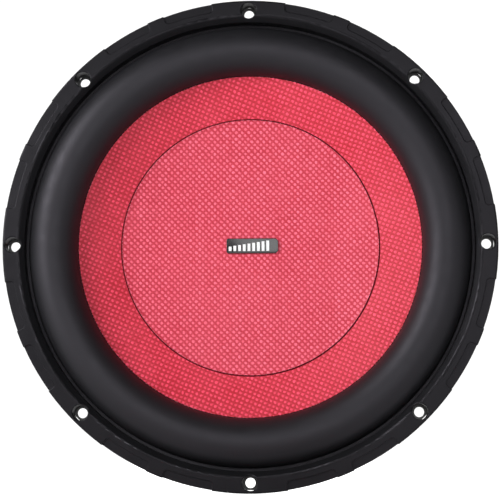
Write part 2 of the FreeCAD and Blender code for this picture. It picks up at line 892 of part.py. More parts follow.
for name, side in (("right", 0.0), ("left", FULL / 2)):
    save(f"{name}_terminal_body", on_leg(terminal_body(), side))
    save(f"{name}_terminal_board", on_leg(terminal_board(), side))
    save(f"{name}_terminal_contacts", *terminal_contacts(side))
    save(f"{name}_tinsel_leads", *tinsel_leads(side))
    for colour, post in (("black", -post_spacing), ("red", post_spacing)):
        save(f"{name}_{colour}_button", on_leg(push_button(post), side))
        save(f"{name}_{colour}_spring", on_leg(button_spring(post), side))
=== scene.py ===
import math

import bmesh
import bpy
import numpy as np
from mathutils import Matrix, Vector


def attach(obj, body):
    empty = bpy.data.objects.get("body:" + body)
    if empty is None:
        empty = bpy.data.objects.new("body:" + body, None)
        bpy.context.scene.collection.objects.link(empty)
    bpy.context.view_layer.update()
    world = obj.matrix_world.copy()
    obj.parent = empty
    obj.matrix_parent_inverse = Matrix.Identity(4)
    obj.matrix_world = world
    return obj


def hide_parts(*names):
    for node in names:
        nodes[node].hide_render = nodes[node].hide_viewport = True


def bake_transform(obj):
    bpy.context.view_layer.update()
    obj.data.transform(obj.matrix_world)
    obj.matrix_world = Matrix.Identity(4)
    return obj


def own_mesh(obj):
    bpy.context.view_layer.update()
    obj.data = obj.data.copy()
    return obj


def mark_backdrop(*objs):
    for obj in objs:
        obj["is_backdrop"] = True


# The looks of a twelve-inch subwoofer driver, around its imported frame. Sizes in the dictionaries are
# in millimetres, as (radius, height) where they come in pairs: height counts forward, so y = -height.

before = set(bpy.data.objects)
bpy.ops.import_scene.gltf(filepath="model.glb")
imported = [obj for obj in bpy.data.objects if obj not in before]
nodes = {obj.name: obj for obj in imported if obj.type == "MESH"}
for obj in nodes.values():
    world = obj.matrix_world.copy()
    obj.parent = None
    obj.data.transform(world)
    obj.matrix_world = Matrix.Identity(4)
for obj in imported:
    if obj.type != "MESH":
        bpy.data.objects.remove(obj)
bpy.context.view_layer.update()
mm = 0.001


# nodes and groups

socketKinds = {int: "NodeSocketInt", float: "NodeSocketFloat", tuple: "NodeSocketColor"}


def put(tree, kind, links=None, **settings):
    node = tree.nodes.new(kind)
    for name, value in settings.items():
        setattr(node, name, value)
    for name, value in (links or {}).items():
        if isinstance(value, bpy.types.NodeSocket):
            tree.links.new(value, node.inputs[name])
        else:
            node.inputs[name].default_value = value
    return node


def calc(tree, operation, *values):
    return put(tree, "ShaderNodeMath", dict(enumerate(values)), operation=operation).outputs[0]


def times(tree, first, second):
    return calc(tree, "MULTIPLY", first, second)


def over(tree, first, second):
    return calc(tree, "DIVIDE", first, second)


def plus(tree, first, second):
    return calc(tree, "ADD", first, second)


def minus(tree, first, second):
    return calc(tree, "SUBTRACT", first, second)


def wave(tree, value):
    return calc(tree, "SINE", times(tree, value, math.pi))


def between(tree, factor, first, second):
    mix = put(tree, "ShaderNodeMix", {"Factor": factor, "A": first, "B": second}, data_type="FLOAT")
    return mix.outputs[0]


def vectorCalc(tree, operation, links, output=0):
    return put(tree, "ShaderNodeVectorMath", links, operation=operation).outputs[output]


def lengthOf(tree, vector):
    return vectorCalc(tree, "LENGTH", {0: vector}, "Value")


def apart(tree, vector):
    return put(tree, "ShaderNodeSeparateXYZ", {0: vector}).outputs


def together(tree, x=0.0, y=0.0, z=0.0):
    return put(tree, "ShaderNodeCombineXYZ", {0: x, 1: y, 2: z}).outputs[0]


def newGroup(name, kind, inputs, outputs):
    tree = bpy.data.node_groups.new(name, kind)
    if kind == "GeometryNodeTree":
        tree.interface.new_socket("Geometry", in_out="INPUT", socket_type="NodeSocketGeometry")
    for label, value in inputs.items():
        socket = tree.interface.new_socket(label, in_out="INPUT", socket_type=socketKinds[type(value)])
        socket.default_value = value
    for label, socketKind in outputs.items():
        tree.interface.new_socket(label, in_out="OUTPUT", socket_type=socketKind)
    return tree, tree.nodes.new("NodeGroupInput").outputs, tree.nodes.new("NodeGroupOutput").inputs


def useGroup(tree, group, **values):
    node = tree.nodes.new("ShaderNodeGroup")
    node.node_tree = group
    for label, value in values.items():
        node.inputs[label].default_value = value
    return node.outputs


def objectPlace(tree):
    return put(tree, "ShaderNodeTexCoord").outputs["Object"]


# Scales count per metre, as the object's own coordinates do.
effect = dict(patchShare=0.05, speckLift=0.5, driftScale=260.0, strandTurn=34.0, floatFrom=-1.0, floatTo=0.7,
              seamFade=0.35, roughSpread=0.12, latheGrain=0.3, coatShare=0.6, wearLift=2.2)


def makeGrain():
    tree, given, wanted = newGroup("grain", "ShaderNodeTree", {"Scale": 900.0, "Detail": 3.0},
                                   {"Height": "NodeSocketFloat", "Patches": "NodeSocketFloat"})
    place = objectPlace(tree)
    fine = put(tree, "ShaderNodeTexNoise", {"Vector": place, "Scale": given["Scale"],
                                            "Detail": given["Detail"], "Roughness": 0.6})
    broadScale = times(tree, given["Scale"], effect["patchShare"])
    broad = put(tree, "ShaderNodeTexNoise", {"Vector": place, "Scale": broadScale, "Detail": 4.0,
                                             "Roughness": 0.62})
    tree.links.new(fine.outputs[0], wanted["Height"])
    tree.links.new(broad.outputs[0], wanted["Patches"])
    return tree


# Lighter edges where a rounded normal leaves the surface's own: rubbed wear on most finishes, and on the trim
# ring a painted highlight along its edges and pocket rims.
def makeEdgeWearAndGlint():
    tree, given, wanted = newGroup("edgeWearAndGlint", "ShaderNodeTree",
                                   {"Width": 0.0006, "Strength": 1.0, "Patch Scale": 260.0},
                                   {"Mask": "NodeSocketFloat", "Normal": "NodeSocketVector"})
    rounded = put(tree, "ShaderNodeBevel", {"Radius": given["Width"]}, samples=4)
    own = put(tree, "ShaderNodeNewGeometry").outputs["Normal"]
    facing = vectorCalc(tree, "DOT_PRODUCT", {0: rounded.outputs[0], 1: own}, "Value")
    noise = put(tree, "ShaderNodeTexNoise", {"Vector": objectPlace(tree), "Scale": given["Patch Scale"],
                                             "Detail": 5.0, "Roughness": 0.7}).outputs[0]
    turned = minus(tree, 1.0, facing)
    patchy = times(tree, turned, times(tree, noise, given["Strength"]))
    mask = put(tree, "ShaderNodeMapRange", {"Value": patchy, "From Min": 0.03, "From Max": 0.22},
               interpolation_type="SMOOTHSTEP").outputs[0]
    tree.links.new(mask, wanted["Mask"])
    tree.links.new(rounded.outputs[0], wanted["Normal"])
    return tree


def makeDust():
    tree, given, wanted = newGroup("dust", "ShaderNodeTree", {"Scale": 700.0, "Amount": 0.3},
                                   {"Mask": "NodeSocketFloat"})
    place = objectPlace(tree)
    specks = put(tree, "ShaderNodeTexNoise", {"Vector": place, "Scale": given["Scale"],
                                              "Detail": 2.0}).outputs[0]
    drifts = put(tree, "ShaderNodeTexNoise", {"Vector": place, "Scale": 24.0, "Detail": 3.0}).outputs[0]
    level = times(tree, specks, plus(tree, drifts, effect["speckLift"]))
    mask = put(tree, "ShaderNodeMapRange", {"Value": level, "From Min": 0.58, "From Max": 0.8}).outputs[0]
    tree.links.new(times(tree, mask, given["Amount"]), wanted["Mask"])
    return tree


# Plain weave over two directions: yarns take turns on top, and the dips are at the corners of each cell.
def weaveField(tree, across, along, roundness, arch):
    sideA = calc(tree, "ABSOLUTE", wave(tree, across))
    sideB = calc(tree, "ABSOLUTE", wave(tree, along))
    cells = plus(tree, calc(tree, "FLOOR", across), calc(tree, "FLOOR", along))
    parity = calc(tree, "FLOORED_MODULO", cells, 2.0)
    domeA = times(tree, calc(tree, "POWER", sideA, roundness), calc(tree, "POWER", sideB, arch))
    domeB = times(tree, calc(tree, "POWER", sideB, roundness), calc(tree, "POWER", sideA, arch))
    crown = between(tree, parity, domeA, domeB)
    return crown, parity


def makeWeave():
    tree, given, wanted = newGroup(
        "weave", "ShaderNodeTree",
        {"Pitch": 0.002, "Turn": 0.0, "Roundness": 0.6, "Arch": 0.35, "Lean": 0.22, "Wobble": 0.0},
        {"Crown": "NodeSocketFloat", "Strands": "NodeSocketFloat", "Yarn": "NodeSocketFloat",
         "Float": "NodeSocketFloat", "Spot": "NodeSocketFloat"})
    place = objectPlace(tree)
    noise = put(tree, "ShaderNodeTexNoise", {"Vector": place, "Scale": effect["driftScale"], "Detail": 2.0})
    drift = vectorCalc(tree, "SUBTRACT", {0: noise.outputs["Color"], 1: (0.5, 0.5, 0.5)})
    drift = vectorCalc(tree, "SCALE", {0: drift, "Scale": given["Wobble"]})
    place = vectorCalc(tree, "ADD", {0: place, 1: drift})
    split = apart(tree, place)
    cosine = calc(tree, "COSINE", given["Turn"])
    sine = calc(tree, "SINE", given["Turn"])
    across = plus(tree, times(tree, split["X"], cosine), times(tree, split["Z"], sine))
    along = minus(tree, times(tree, split["Z"], cosine), times(tree, split["X"], sine))
    across = over(tree, across, given["Pitch"])
    along = over(tree, along, given["Pitch"])
    crown, parity = weaveField(tree, across, along, given["Roundness"], given["Arch"])
    run = between(tree, parity, across, along)
    strands = calc(tree, "SINE", times(tree, run, effect["strandTurn"]))
    cell = together(tree, calc(tree, "FLOOR", run), parity)
    yarn = put(tree, "ShaderNodeTexWhiteNoise", {"Vector": cell}, noise_dimensions="3D").outputs[0]
    tree.links.new(crown, wanted["Crown"])
    tree.links.new(strands, wanted["Strands"])
    tree.links.new(yarn, wanted["Yarn"])
    check = times(tree, wave(tree, across), wave(tree, along))
    lean = calc(tree, "COSINE", times(tree, plus(tree, across, along), math.pi))
    leaned = minus(tree, check, times(tree, lean, given["Lean"]))
    floats = put(tree, "ShaderNodeMapRange", {"Value": leaned, "From Min": effect["floatFrom"],
                                              "From Max": effect["floatTo"]}).outputs[0]
    seams = calc(tree, "POWER", calc(tree, "ABSOLUTE", check), effect["seamFade"])
    tree.links.new(times(tree, floats, seams), wanted["Float"])
    square = together(tree, calc(tree, "FLOOR", across), calc(tree, "FLOOR", along))
    spot = put(tree, "ShaderNodeTexWhiteNoise", {"Vector": square}, noise_dimensions="3D").outputs[0]
    tree.links.new(spot, wanted["Spot"])
    return tree


# Fine rings that a lathe leaves round the speaker's axis.
def makeTurning():
    tree, given, wanted = newGroup("turning", "ShaderNodeTree", {"Scale": 1600.0},
                                   {"Height": "NodeSocketFloat"})
    split = apart(tree, objectPlace(tree))
    flat = together(tree, split["X"], split["Z"])
    radius = lengthOf(tree, flat)
    ring = together(tree, radius, split["Y"])
    noise = put(tree, "ShaderNodeTexNoise", {"Vector": ring, "Scale": given["Scale"], "Detail": 2.0})
    tree.links.new(noise.outputs[0], wanted["Height"])
    return tree


grain = makeGrain()
edgeWearAndGlint = makeEdgeWearAndGlint()
dust = makeDust()
weave = makeWeave()
turning = makeTurning()


def mixColour(tree, factor, first, second):
    mix = put(tree, "ShaderNodeMix", data_type="RGBA")
    for socket, value in ((mix.inputs["Factor"], factor), (mix.inputs[6], first), (mix.inputs[7], second)):
        if isinstance(value, bpy.types.NodeSocket):
            tree.links.new(value, socket)
        else:
            socket.default_value = value
    return mix.outputs[2]


def startMaterial(name, roughness, metallic=0.0, specular=0.5):
    material = bpy.data.materials.new(name)
    material.use_nodes = True
    shader = material.node_tree.nodes["Principled BSDF"]
    shader.inputs["Roughness"].default_value = roughness
    shader.inputs["Metallic"].default_value = metallic
    shader.inputs["Specular IOR Level"].default_value = specular
    return material, material.node_tree, shader


def solid(colour, scale=1.0):
    return tuple(min(1.0, value * scale) for value in colour) + (1.0,)


# A moulded, painted or metal finish: broad patches of tone, fine grain, lighter edges and dust. The lighter
# edges are rubbed wear, and on the trim ring a painted highlight.
def plainFinish(name, colour, roughness, metallic=0.0, specular=0.5, patches=0.2, grainScale=900.0,
                grainHeight=0.03, wearAndGlintColour=None, wearAndGlintWidth=0.5, wearAndGlintStrength=1.0, dustAmount=0.15,
                turned=0.0, coat=0.0, dustColour=(0.3, 0.29, 0.27), shine=(1.0, 1.0, 1.0)):
    material, tree, shader = startMaterial(name, roughness, metallic, specular)
    texture = useGroup(tree, grain, **{"Scale": grainScale, "Detail": 3.0})
    base = mixColour(tree, texture["Patches"], solid(colour, 1 - patches), solid(colour, 1 + patches))
    # Lighter edges: rubbed wear, and for the trim ring a painted highlight along its edges and pocket rims.
    wearAndGlint = useGroup(tree, edgeWearAndGlint, **{"Width": wearAndGlintWidth * mm, "Strength": wearAndGlintStrength})
    wearAndGlintTone = wearAndGlintColour or tuple(value * effect["wearLift"] for value in colour)
    base = mixColour(tree, wearAndGlint["Mask"], base, solid(wearAndGlintTone))
    specks = useGroup(tree, dust, **{"Amount": dustAmount})
    base = mixColour(tree, specks["Mask"], base, solid(dustColour))
    tree.links.new(base, shader.inputs["Base Color"])
    spread = put(tree, "ShaderNodeMapRange", {
        "Value": texture["Patches"], "From Min": 0.3, "From Max": 0.7,
        "To Min": roughness * (1 - effect["roughSpread"]),
        "To Max": min(1.0, roughness * (1 + effect["roughSpread"]))})
    tree.links.new(spread.outputs[0], shader.inputs["Roughness"])
    height = texture["Height"]
    if turned:
        lathe = useGroup(tree, turning, **{"Scale": turned})
        height = plus(tree, times(tree, height, effect["latheGrain"]), lathe["Height"])
    bump = put(tree, "ShaderNodeBump", {"Height": height, "Distance": grainHeight * mm, "Strength": 1.0,
                                        "Normal": wearAndGlint["Normal"]})
    tree.links.new(bump.outputs[0], shader.inputs["Normal"])
    shader.inputs["Specular Tint"].default_value = solid(shine)
    if coat:
        shader.inputs["Coat Weight"].default_value = coat
        shader.inputs["Coat Roughness"].default_value = roughness * effect["coatShare"]
    return material


finishes = {
    # The trim ring's light edge colour is a painted highlight on the rims of its edges and pockets.
    "ringRubber": dict(colour=(0.0065, 0.0065, 0.0072), roughness=0.38, specular=0.2, grainScale=1400.0,
                       grainHeight=0.02, dustAmount=0.0, wearAndGlintWidth=0.6, wearAndGlintColour=(0.055, 0.055, 0.06),
                       shine=(0.93, 0.88, 1.0)),
    "blackSteel": dict(colour=(0.016, 0.016, 0.017), roughness=0.42, grainScale=1100.0, grainHeight=0.03,
                       wearAndGlintWidth=0.6, coat=0.2, dustAmount=0.12),
    "surroundRubber": dict(colour=(0.009, 0.009, 0.0102), roughness=0.52, specular=0.36, grainScale=2600.0,
                           grainHeight=0.02, wearAndGlintStrength=0.0, patches=0.12, dustAmount=0.0,
                           shine=(0.93, 0.88, 1.0)),
    "pulp": dict(colour=(0.03, 0.029, 0.028), roughness=0.86, patches=0.35, grainScale=1500.0,
                 grainHeight=0.09, wearAndGlintStrength=0.3, dustAmount=0.2),
    "badgeBlack": dict(colour=(0.008, 0.008, 0.009), roughness=0.22, patches=0.1, grainHeight=0.002,
                       wearAndGlintWidth=0.25, wearAndGlintStrength=0.8, coat=0.5, dustAmount=0.1),
    "badgeSilver": dict(colour=(0.86, 0.87, 0.88), roughness=0.3, metallic=0.25, patches=0.06,
                        grainHeight=0.004, wearAndGlintWidth=0.15, wearAndGlintColour=(0.95, 0.95, 0.95), dustAmount=0.0),
    "formerAluminium": dict(colour=(0.55, 0.55, 0.56), roughness=0.34, metallic=1.0, turned=2600.0,
                            grainHeight=0.01, wearAndGlintColour=(0.8, 0.8, 0.8)),
    "copperWire": dict(colour=(0.72, 0.26, 0.1), roughness=0.28, metallic=1.0, patches=0.15,
                       grainHeight=0.004, wearAndGlintColour=(0.85, 0.4, 0.2), coat=0.4),
    "darkRedBead": dict(colour=(0.11, 0.001, 0.006), roughness=0.7, specular=0.15, patches=0.3, grainScale=400.0,
                    grainHeight=0.05, wearAndGlintStrength=0.0, dustAmount=0.0),
    "glue": dict(colour=(0.02, 0.017, 0.012), roughness=0.25, patches=0.3, grainScale=300.0,
                 grainHeight=0.2, wearAndGlintStrength=0.0),
    "platedSteel": dict(colour=(0.52, 0.5, 0.44), roughness=0.36, metallic=1.0, turned=1500.0,
                        grainHeight=0.012, wearAndGlintColour=(0.75, 0.74, 0.7)),
    "ferrite": dict(colour=(0.045, 0.045, 0.048), roughness=0.6, patches=0.25, grainScale=700.0,
                    grainHeight=0.06, wearAndGlintColour=(0.12, 0.12, 0.12)),
    "wireMesh": dict(colour=(0.045, 0.045, 0.045), roughness=0.4, metallic=0.6, grainHeight=0.004,
                     wearAndGlintColour=(0.4, 0.4, 0.4)),
    "bootRubber": dict(colour=(0.02, 0.02, 0.021), roughness=0.55, grainScale=1700.0, grainHeight=0.03,
                       wearAndGlintWidth=0.5, wearAndGlintStrength=0.5, dustAmount=0.22),
    "zincScrew": dict(colour=(0.6, 0.6, 0.6), roughness=0.3, metallic=1.0, grainHeight=0.01,
                      wearAndGlintColour=(0.85, 0.85, 0.85)),
    "terminalPlastic": dict(colour=(0.018, 0.018, 0.019), roughness=0.44, grainScale=1500.0,
                            grainHeight=0.025, wearAndGlintWidth=0.35),
    "phenolicBoard": dict(colour=(0.26, 0.12, 0.045), roughness=0.5, patches=0.25, grainScale=800.0,
                          grainHeight=0.02),
    "contactBrass": dict(colour=(0.75, 0.55, 0.25), roughness=0.3, metallic=1.0, grainHeight=0.008,
                         wearAndGlintColour=(0.9, 0.75, 0.45)),
    "blackButton": dict(colour=(0.015, 0.015, 0.016), roughness=0.34, grainHeight=0.01, wearAndGlintWidth=0.4),
    "redButton": dict(colour=(0.5, 0.012, 0.014), roughness=0.34, grainHeight=0.01, wearAndGlintWidth=0.4,
                      wearAndGlintColour=(0.75, 0.12, 0.1)),
    "springSteel": dict(colour=(0.45, 0.45, 0.46), roughness=0.3, metallic=1.0, grainHeight=0.004,
                        wearAndGlintColour=(0.7, 0.7, 0.7)),
}
materials = {name: plainFinish(name, **values) for name, values in finishes.items()}


# Resin-coated red fibre: deep red in the dips, pale on the crowns, and each yarn a little its own shade. The
# pale crowns and floats carry a painted sheen over the fibre's own deep red.
def wovenFinish(name, sizes):
    material, tree, shader = startMaterial(name, sizes["roughness"], 0.0, sizes["specular"])
    cloth = useGroup(tree, weave, **{"Pitch": sizes["pitch"] * mm, "Turn": math.radians(sizes["turn"]),
                                     "Roundness": sizes["roundness"], "Arch": sizes["arch"],
                                     "Wobble": sizes["wobble"] * mm})
    plain = times(tree, cloth["Crown"], 1.0 - sizes["uneven"])
    lift = plus(tree, plain, times(tree, cloth["Float"], sizes["uneven"]))
    lift = put(tree, "ShaderNodeMapRange", {"Value": lift, "From Min": sizes["dark"],
                                            "From Max": sizes["light"]},
               interpolation_type="SMOOTHSTEP").outputs[0]
    spots = minus(tree, 1.0, times(tree, cloth["Spot"], sizes["spots"]))
    lift = times(tree, lift, spots)
    # The crown colour is partly a painted sheen; the dip colour is the fibre's own deep red.
    base = mixColour(tree, lift, solid(sizes["dip"]), solid(sizes["crown"]))
    shade = put(tree, "ShaderNodeMapRange", {"Value": cloth["Yarn"], "To Max": sizes["yarnShade"]}).outputs[0]
    base = mixColour(tree, shade, base, solid(sizes["dip"]))
    texture = useGroup(tree, grain, **{"Scale": 500.0})
    tone = put(tree, "ShaderNodeMapRange", {"Value": texture["Patches"], "From Min": 0.3, "From Max": 0.7,
                                            "To Max": sizes["paling"]}).outputs[0]
    base = mixColour(tree, tone, base, solid(sizes["pale"]))
    tree.links.new(base, shader.inputs["Base Color"])
    height = plus(tree, times(tree, cloth["Crown"], sizes["crownBump"]),
                  times(tree, cloth["Strands"], sizes["strandBump"]))
    bump = put(tree, "ShaderNodeBump", {"Height": height, "Distance": mm, "Strength": 1.0})
    tree.links.new(bump.outputs[0], shader.inputs["Normal"])
    return material


redCloth = dict(pitch=2.0, turn=0.0, roundness=0.4, arch=0.2, roughness=0.5, specular=0.35,
                dip=(0.46, 0.001, 0.018), crown=(1.0, 0.175, 0.27), pale=(0.92, 0.14, 0.2), paling=0.12,
                dark=0.15, light=0.8, uneven=0.7, spots=0.3, yarnShade=0.22, wobble=1.7, crownBump=0.05,
                strandBump=0.01)
# Cap and cone are one fibre: the cap's paler, pinker colours are a painted sheen where it faces the front
# light, the cone's darker ones a shaded copy.
materials["capWeave"] = wovenFinish("capWeave", redCloth)
materials["coneWeave"] = wovenFinish("coneWeave", {
    **redCloth, "turn": 22.0, "dip": (0.42, 0.0, 0.007), "crown": (0.98, 0.075, 0.155), "specular": 0.35})
materials["cutYarn"] = plainFinish("cutYarn", (0.62, 0.2, 0.24), 0.7, patches=0.3, grainHeight=0.02,
                                   wearAndGlintStrength=0.0, dustAmount=0.3, dustColour=(0.6, 0.4, 0.42))
materials["spiderCloth"] = wovenFinish("spiderCloth", {
    **redCloth, "pitch": 0.9, "dip": (0.12, 0.06, 0.015), "crown": (0.55, 0.36, 0.13),
    "pale": (0.5, 0.3, 0.1), "roughness": 0.75, "specular": 0.25, "crownBump": 0.06, "wobble": 0.1,
    "spots": 0.25})
materials["tinselBraid"] = wovenFinish("tinselBraid", {
    **redCloth, "pitch": 0.7, "turn": 45.0, "dip": (0.1, 0.09, 0.07), "crown": (0.72, 0.68, 0.58),
    "pale": (0.6, 0.58, 0.5), "roughness": 0.35, "specular": 0.6, "crownBump": 0.02, "wobble": 0.05,
    "spots": 0.2})
print("materials:", len(materials))


# meshes

def addObject(name, mesh):
    piece = bpy.data.objects.new(name, mesh)
    bpy.context.scene.collection.objects.link(piece)
    return piece


# Merges doubles, turns every face of a closed mesh outwards and marks its sharp edges.
def cleanMesh(mesh, sharpAngle=38.0, closed=True):
    work = bmesh.new()
    work.from_mesh(mesh)
    bmesh.ops.remove_doubles(work, verts=work.verts, dist=2e-6)
    if closed:
        bmesh.ops.recalc_face_normals(work, faces=work.faces)
        if work.calc_volume(signed=True) < 0:
            bmesh.ops.reverse_faces(work, faces=work.faces)
    work.to_mesh(mesh)
    work.free()
    mesh.shade_smooth()
    mesh.set_sharp_from_angle(angle=math.radians(sharpAngle))
    return mesh


def finishPiece(name, mesh, material, body=None, stands=(), sharpAngle=38.0, closed=True):
    cleanMesh(mesh, sharpAngle, closed)
    mesh.materials.clear()
    mesh.materials.append(materials[material])
    piece = addObject(name, mesh)
    if body:
        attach(piece, body)
    if stands:
        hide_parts(*stands)
    return piece


def meshOf(name, points, faces):
    mesh = bpy.data.meshes.new(name)
    mesh.from_pydata(points, [], faces)
    mesh.update()
    return mesh


# A closed outline of (radius, height) turned once round the axis.
def turnedMesh(name, profile, steps):
    points, faces, rows = [], [], []
    for radius, height in profile:
        row = []
        for step in range(steps if radius > 1e-6 else 1):
            turn = 2 * math.pi * step / steps
            row.append(len(points))
            points.append((radius * math.cos(turn) * mm, -height * mm, radius * math.sin(turn) * mm))
        rows.append(row)
    for first, second in zip(rows, rows[1:] + rows[:1]):
        if len(first) == 1 and len(second) == 1:
            continue
        for step in range(steps):
            corners = []
            for row, place in ((first, step), (second, step), (second, step + 1), (first, step + 1)):
                corner = row[place % len(row)]
                if corner not in corners:
                    corners.append(corner)
            faces.append(corners)
    return meshOf(name, points, faces)


# Points along a bent line with the normal to its left at each, its corners rounded.
def bentLine(points, radii, steps):
    places = [np.array(point, float) for point in points]
    ways = [(b - a) / np.linalg.norm(b - a) for a, b in zip(places, places[1:])]
    left = [np.array((-way[1], way[0])) for way in ways]
    line = [(places[0], left[0])]
    for corner, radius, before, after, normal in zip(places[1:], radii, ways, ways[1:], left):
        cross = before[0] * after[1] - before[1] * after[0]
        turn = math.atan2(cross, before @ after)
        side = 1.0 if cross > 0 else -1.0
        start = corner - before * radius * math.tan(abs(turn) / 2)
        centre = start + normal * radius * side
        for step in range(steps + 1):
            angle = turn * step / steps
            cosine, sine = math.cos(angle), math.sin(angle)
            facing = np.array((normal[0] * cosine - normal[1] * sine, normal[0] * sine + normal[1] * cosine))
            line.append((centre - facing * radius * side, facing))
    line.append((places[-1], left[-1]))
    return line


def sheetProfile(line, low, high):
    return [tuple(p + n * low) for p, n in line] + [tuple(p + n * high) for p, n in reversed(line)]


# What an object's modifiers make, as a plain mesh in place of the object.
def settledMesh(holder):
    graph = bpy.context.evaluated_depsgraph_get()
    mesh = bpy.data.meshes.new_from_object(holder.evaluated_get(graph))
    holder.modifiers.clear()
    bpy.data.objects.remove(holder)
    return mesh


# A geometry tree with named sizes, run once and left as a plain mesh.
def grownMesh(name, tree, sizes):
    holder = addObject(name + "Holder", bpy.data.meshes.new(name + "Holder"))
    modifier = holder.modifiers.new("grow", "NODES")
    modifier.node_group = tree
    for item in tree.interface.items_tree:
        if item.in_out == "INPUT" and item.name in sizes:
            modifier[item.identifier] = sizes[item.name]
    mesh = settledMesh(holder)
    mesh.name = name
    return mesh


def endTree(tree, geometry, wanted, material):
    real = put(tree, "GeometryNodeRealizeInstances", {"Geometry": geometry})
    painted = put(tree, "GeometryNodeSetMaterial", {"Geometry": real.outputs[0],
                                                    "Material": materials[material]})
    tree.links.new(painted.outputs[0], wanted["Geometry"])


def moved(tree, geometry, shift=(0.0, 0.0, 0.0), turn=(0.0, 0.0, 0.0)):
    return put(tree, "GeometryNodeTransform", {"Geometry": geometry, "Translation": shift,
                                               "Rotation": turn}).outputs[0]


def joined(tree, *parts):
    node = put(tree, "GeometryNodeJoinGeometry")
    for part in parts:
        tree.links.new(part, node.inputs[0])
    return node.outputs[0]


geometryOut = {"Geometry": "NodeSocketGeometry"}


# woven cone and cap

cone = dict(radius=110.0, edge=2.7, angle=18.0, skin=0.5, hole=25.72, wovenFrom=79.4, overlap=0.6, cells=56,
            relief=0.2, pitch=2.0, turn=22.0, backSteps=240)
cap = dict(radius=82.8, lip=80.3, thickness=0.8, gap=0.05, depth=5.0, seat=17.558, cells=42,
           relief=0.2, pitch=2.0, turn=0.0, backSteps=240)
coneSlope = math.tan(math.radians(cone["angle"]))


def coneFront(radius):
    return cone["edge"] - (cone["radius"] - radius) * coneSlope


capLipTop = coneFront(cap["lip"]) + cap["gap"] + cap["thickness"]
capCentre = capLipTop - cap["depth"]
capSpan = cap["lip"] - cap["seat"]
capBowl = (capSpan ** 2 + cap["depth"] ** 2) / (2 * cap["depth"])


def capTop(radius):
    if radius > cap["lip"]:
        return coneFront(radius) + cap["gap"] + cap["thickness"]
    return capCentre + capBowl - math.sqrt(capBowl ** 2 - max(radius - cap["seat"], 0.0) ** 2)


def makeWovenDisc(material):
    tree, given, wanted = newGroup("wovenDisc_" + material, "GeometryNodeTree", {
        "Cells": 10, "Pitch": 0.002, "Turn": 0.0, "Outer": 0.1, "Inner": 0.0, "Relief": 0.0002,
        "Edge Height": 0.0, "Slope": 0.3, "Lip": 0.0, "Seat": 0.0, "Bowl": 1.0, "Centre Height": 0.0,
        "Roundness": 0.55, "Arch": 0.4}, geometryOut)
    side = times(tree, times(tree, given["Cells"], 2.0), given["Pitch"])
    count = plus(tree, times(tree, given["Cells"], 8.0), 1.0)
    sheet = put(tree, "GeometryNodeMeshGrid", {"Size X": side, "Size Y": side, "Vertices X": count,
                                               "Vertices Y": count}).outputs[0]
    place = put(tree, "GeometryNodeInputPosition").outputs[0]
    radius = lengthOf(tree, place)
    outside = put(tree, "FunctionNodeCompare", {0: radius, 1: given["Outer"]},
                  operation="GREATER_THAN").outputs[0]
    inside = put(tree, "FunctionNodeCompare", {0: radius, 1: given["Inner"]},
                 operation="LESS_THAN").outputs[0]
    spare = put(tree, "FunctionNodeBooleanMath", {0: outside, 1: inside}, operation="OR").outputs[0]
    sheet = put(tree, "GeometryNodeDeleteGeometry", {"Geometry": sheet, "Selection": spare},
                domain="FACE", mode="ALL").outputs[0]
    faceCount = put(tree, "GeometryNodeInputMeshEdgeNeighbors").outputs[0]
    rim = put(tree, "FunctionNodeCompare", {2: faceCount, 3: 1}, data_type="INT",
              operation="EQUAL").outputs[0]
    middle = times(tree, plus(tree, given["Outer"], given["Inner"]), 0.5)
    isOuter = calc(tree, "GREATER_THAN", radius, middle)
    target = between(tree, isOuter, given["Inner"], given["Outer"])
    snapped = vectorCalc(tree, "SCALE", {0: place, "Scale": over(tree, target, radius)})
    sheet = put(tree, "GeometryNodeSetPosition", {"Geometry": sheet, "Selection": rim,
                                                  "Position": snapped}).outputs[0]
    split = apart(tree, place)
    across, along = over(tree, split["X"], given["Pitch"]), over(tree, split["Y"], given["Pitch"])
    crown = weaveField(tree, across, along, given["Roundness"], given["Arch"])[0]
    straight = minus(tree, given["Edge Height"],
                     times(tree, minus(tree, given["Outer"], radius), given["Slope"]))
    reach = calc(tree, "MAXIMUM", minus(tree, radius, given["Seat"]), 0.0)
    squares = minus(tree, calc(tree, "POWER", given["Bowl"], 2.0), calc(tree, "POWER", reach, 2.0))
    dished = minus(tree, plus(tree, given["Centre Height"], given["Bowl"]), calc(tree, "SQRT", squares))
    beyondLip = calc(tree, "GREATER_THAN", radius, given["Lip"])
    height = between(tree, beyondLip, dished, straight)
    dip = times(tree, minus(tree, 1.0, crown), given["Relief"])
    raised = together(tree, split["X"], split["Y"], minus(tree, height, dip))
    sheet = put(tree, "GeometryNodeSetPosition", {"Geometry": sheet, "Position": raised}).outputs[0]
    turn = together(tree, z=given["Turn"])
    sheet = moved(tree, moved(tree, sheet, turn=turn), turn=(math.pi / 2, 0.0, 0.0))
    endTree(tree, sheet, wanted, material)
    return tree


def sortedRound(vertices):
    return sorted(vertices, key=lambda vertex: math.atan2(vertex.co.z, vertex.co.x))


def ringOfPoints(work, radius, height, count):
    ring = []
    for step in range(count):
        turn = 2 * math.pi * (step + 0.5) / count
        place = (radius * math.cos(turn) * mm, -height * mm, radius * math.sin(turn) * mm)
        ring.append(work.verts.new(place))
    return sortedRound(ring)


# Joins two rings of any number of points with triangles.
def stitch(work, first, second):
    def turnAt(ring, place):
        vertex = ring[place % len(ring)]
        return math.atan2(vertex.co.z, vertex.co.x) + 2 * math.pi * (place // len(ring))
    a, b = 0, 0
    while a < len(first) or b < len(second):
        if b >= len(second) or (a < len(first) and turnAt(first, a + 1) <= turnAt(second, b + 1)):
            corners = (first[a % len(first)], second[b % len(second)], first[(a + 1) % len(first)])
            a += 1
        else:
            corners = (first[a % len(first)], second[b % len(second)], second[(b + 1) % len(second)])
            b += 1
        if len(set(corners)) == 3 and work.faces.get(corners) is None:
            work.faces.new(corners)


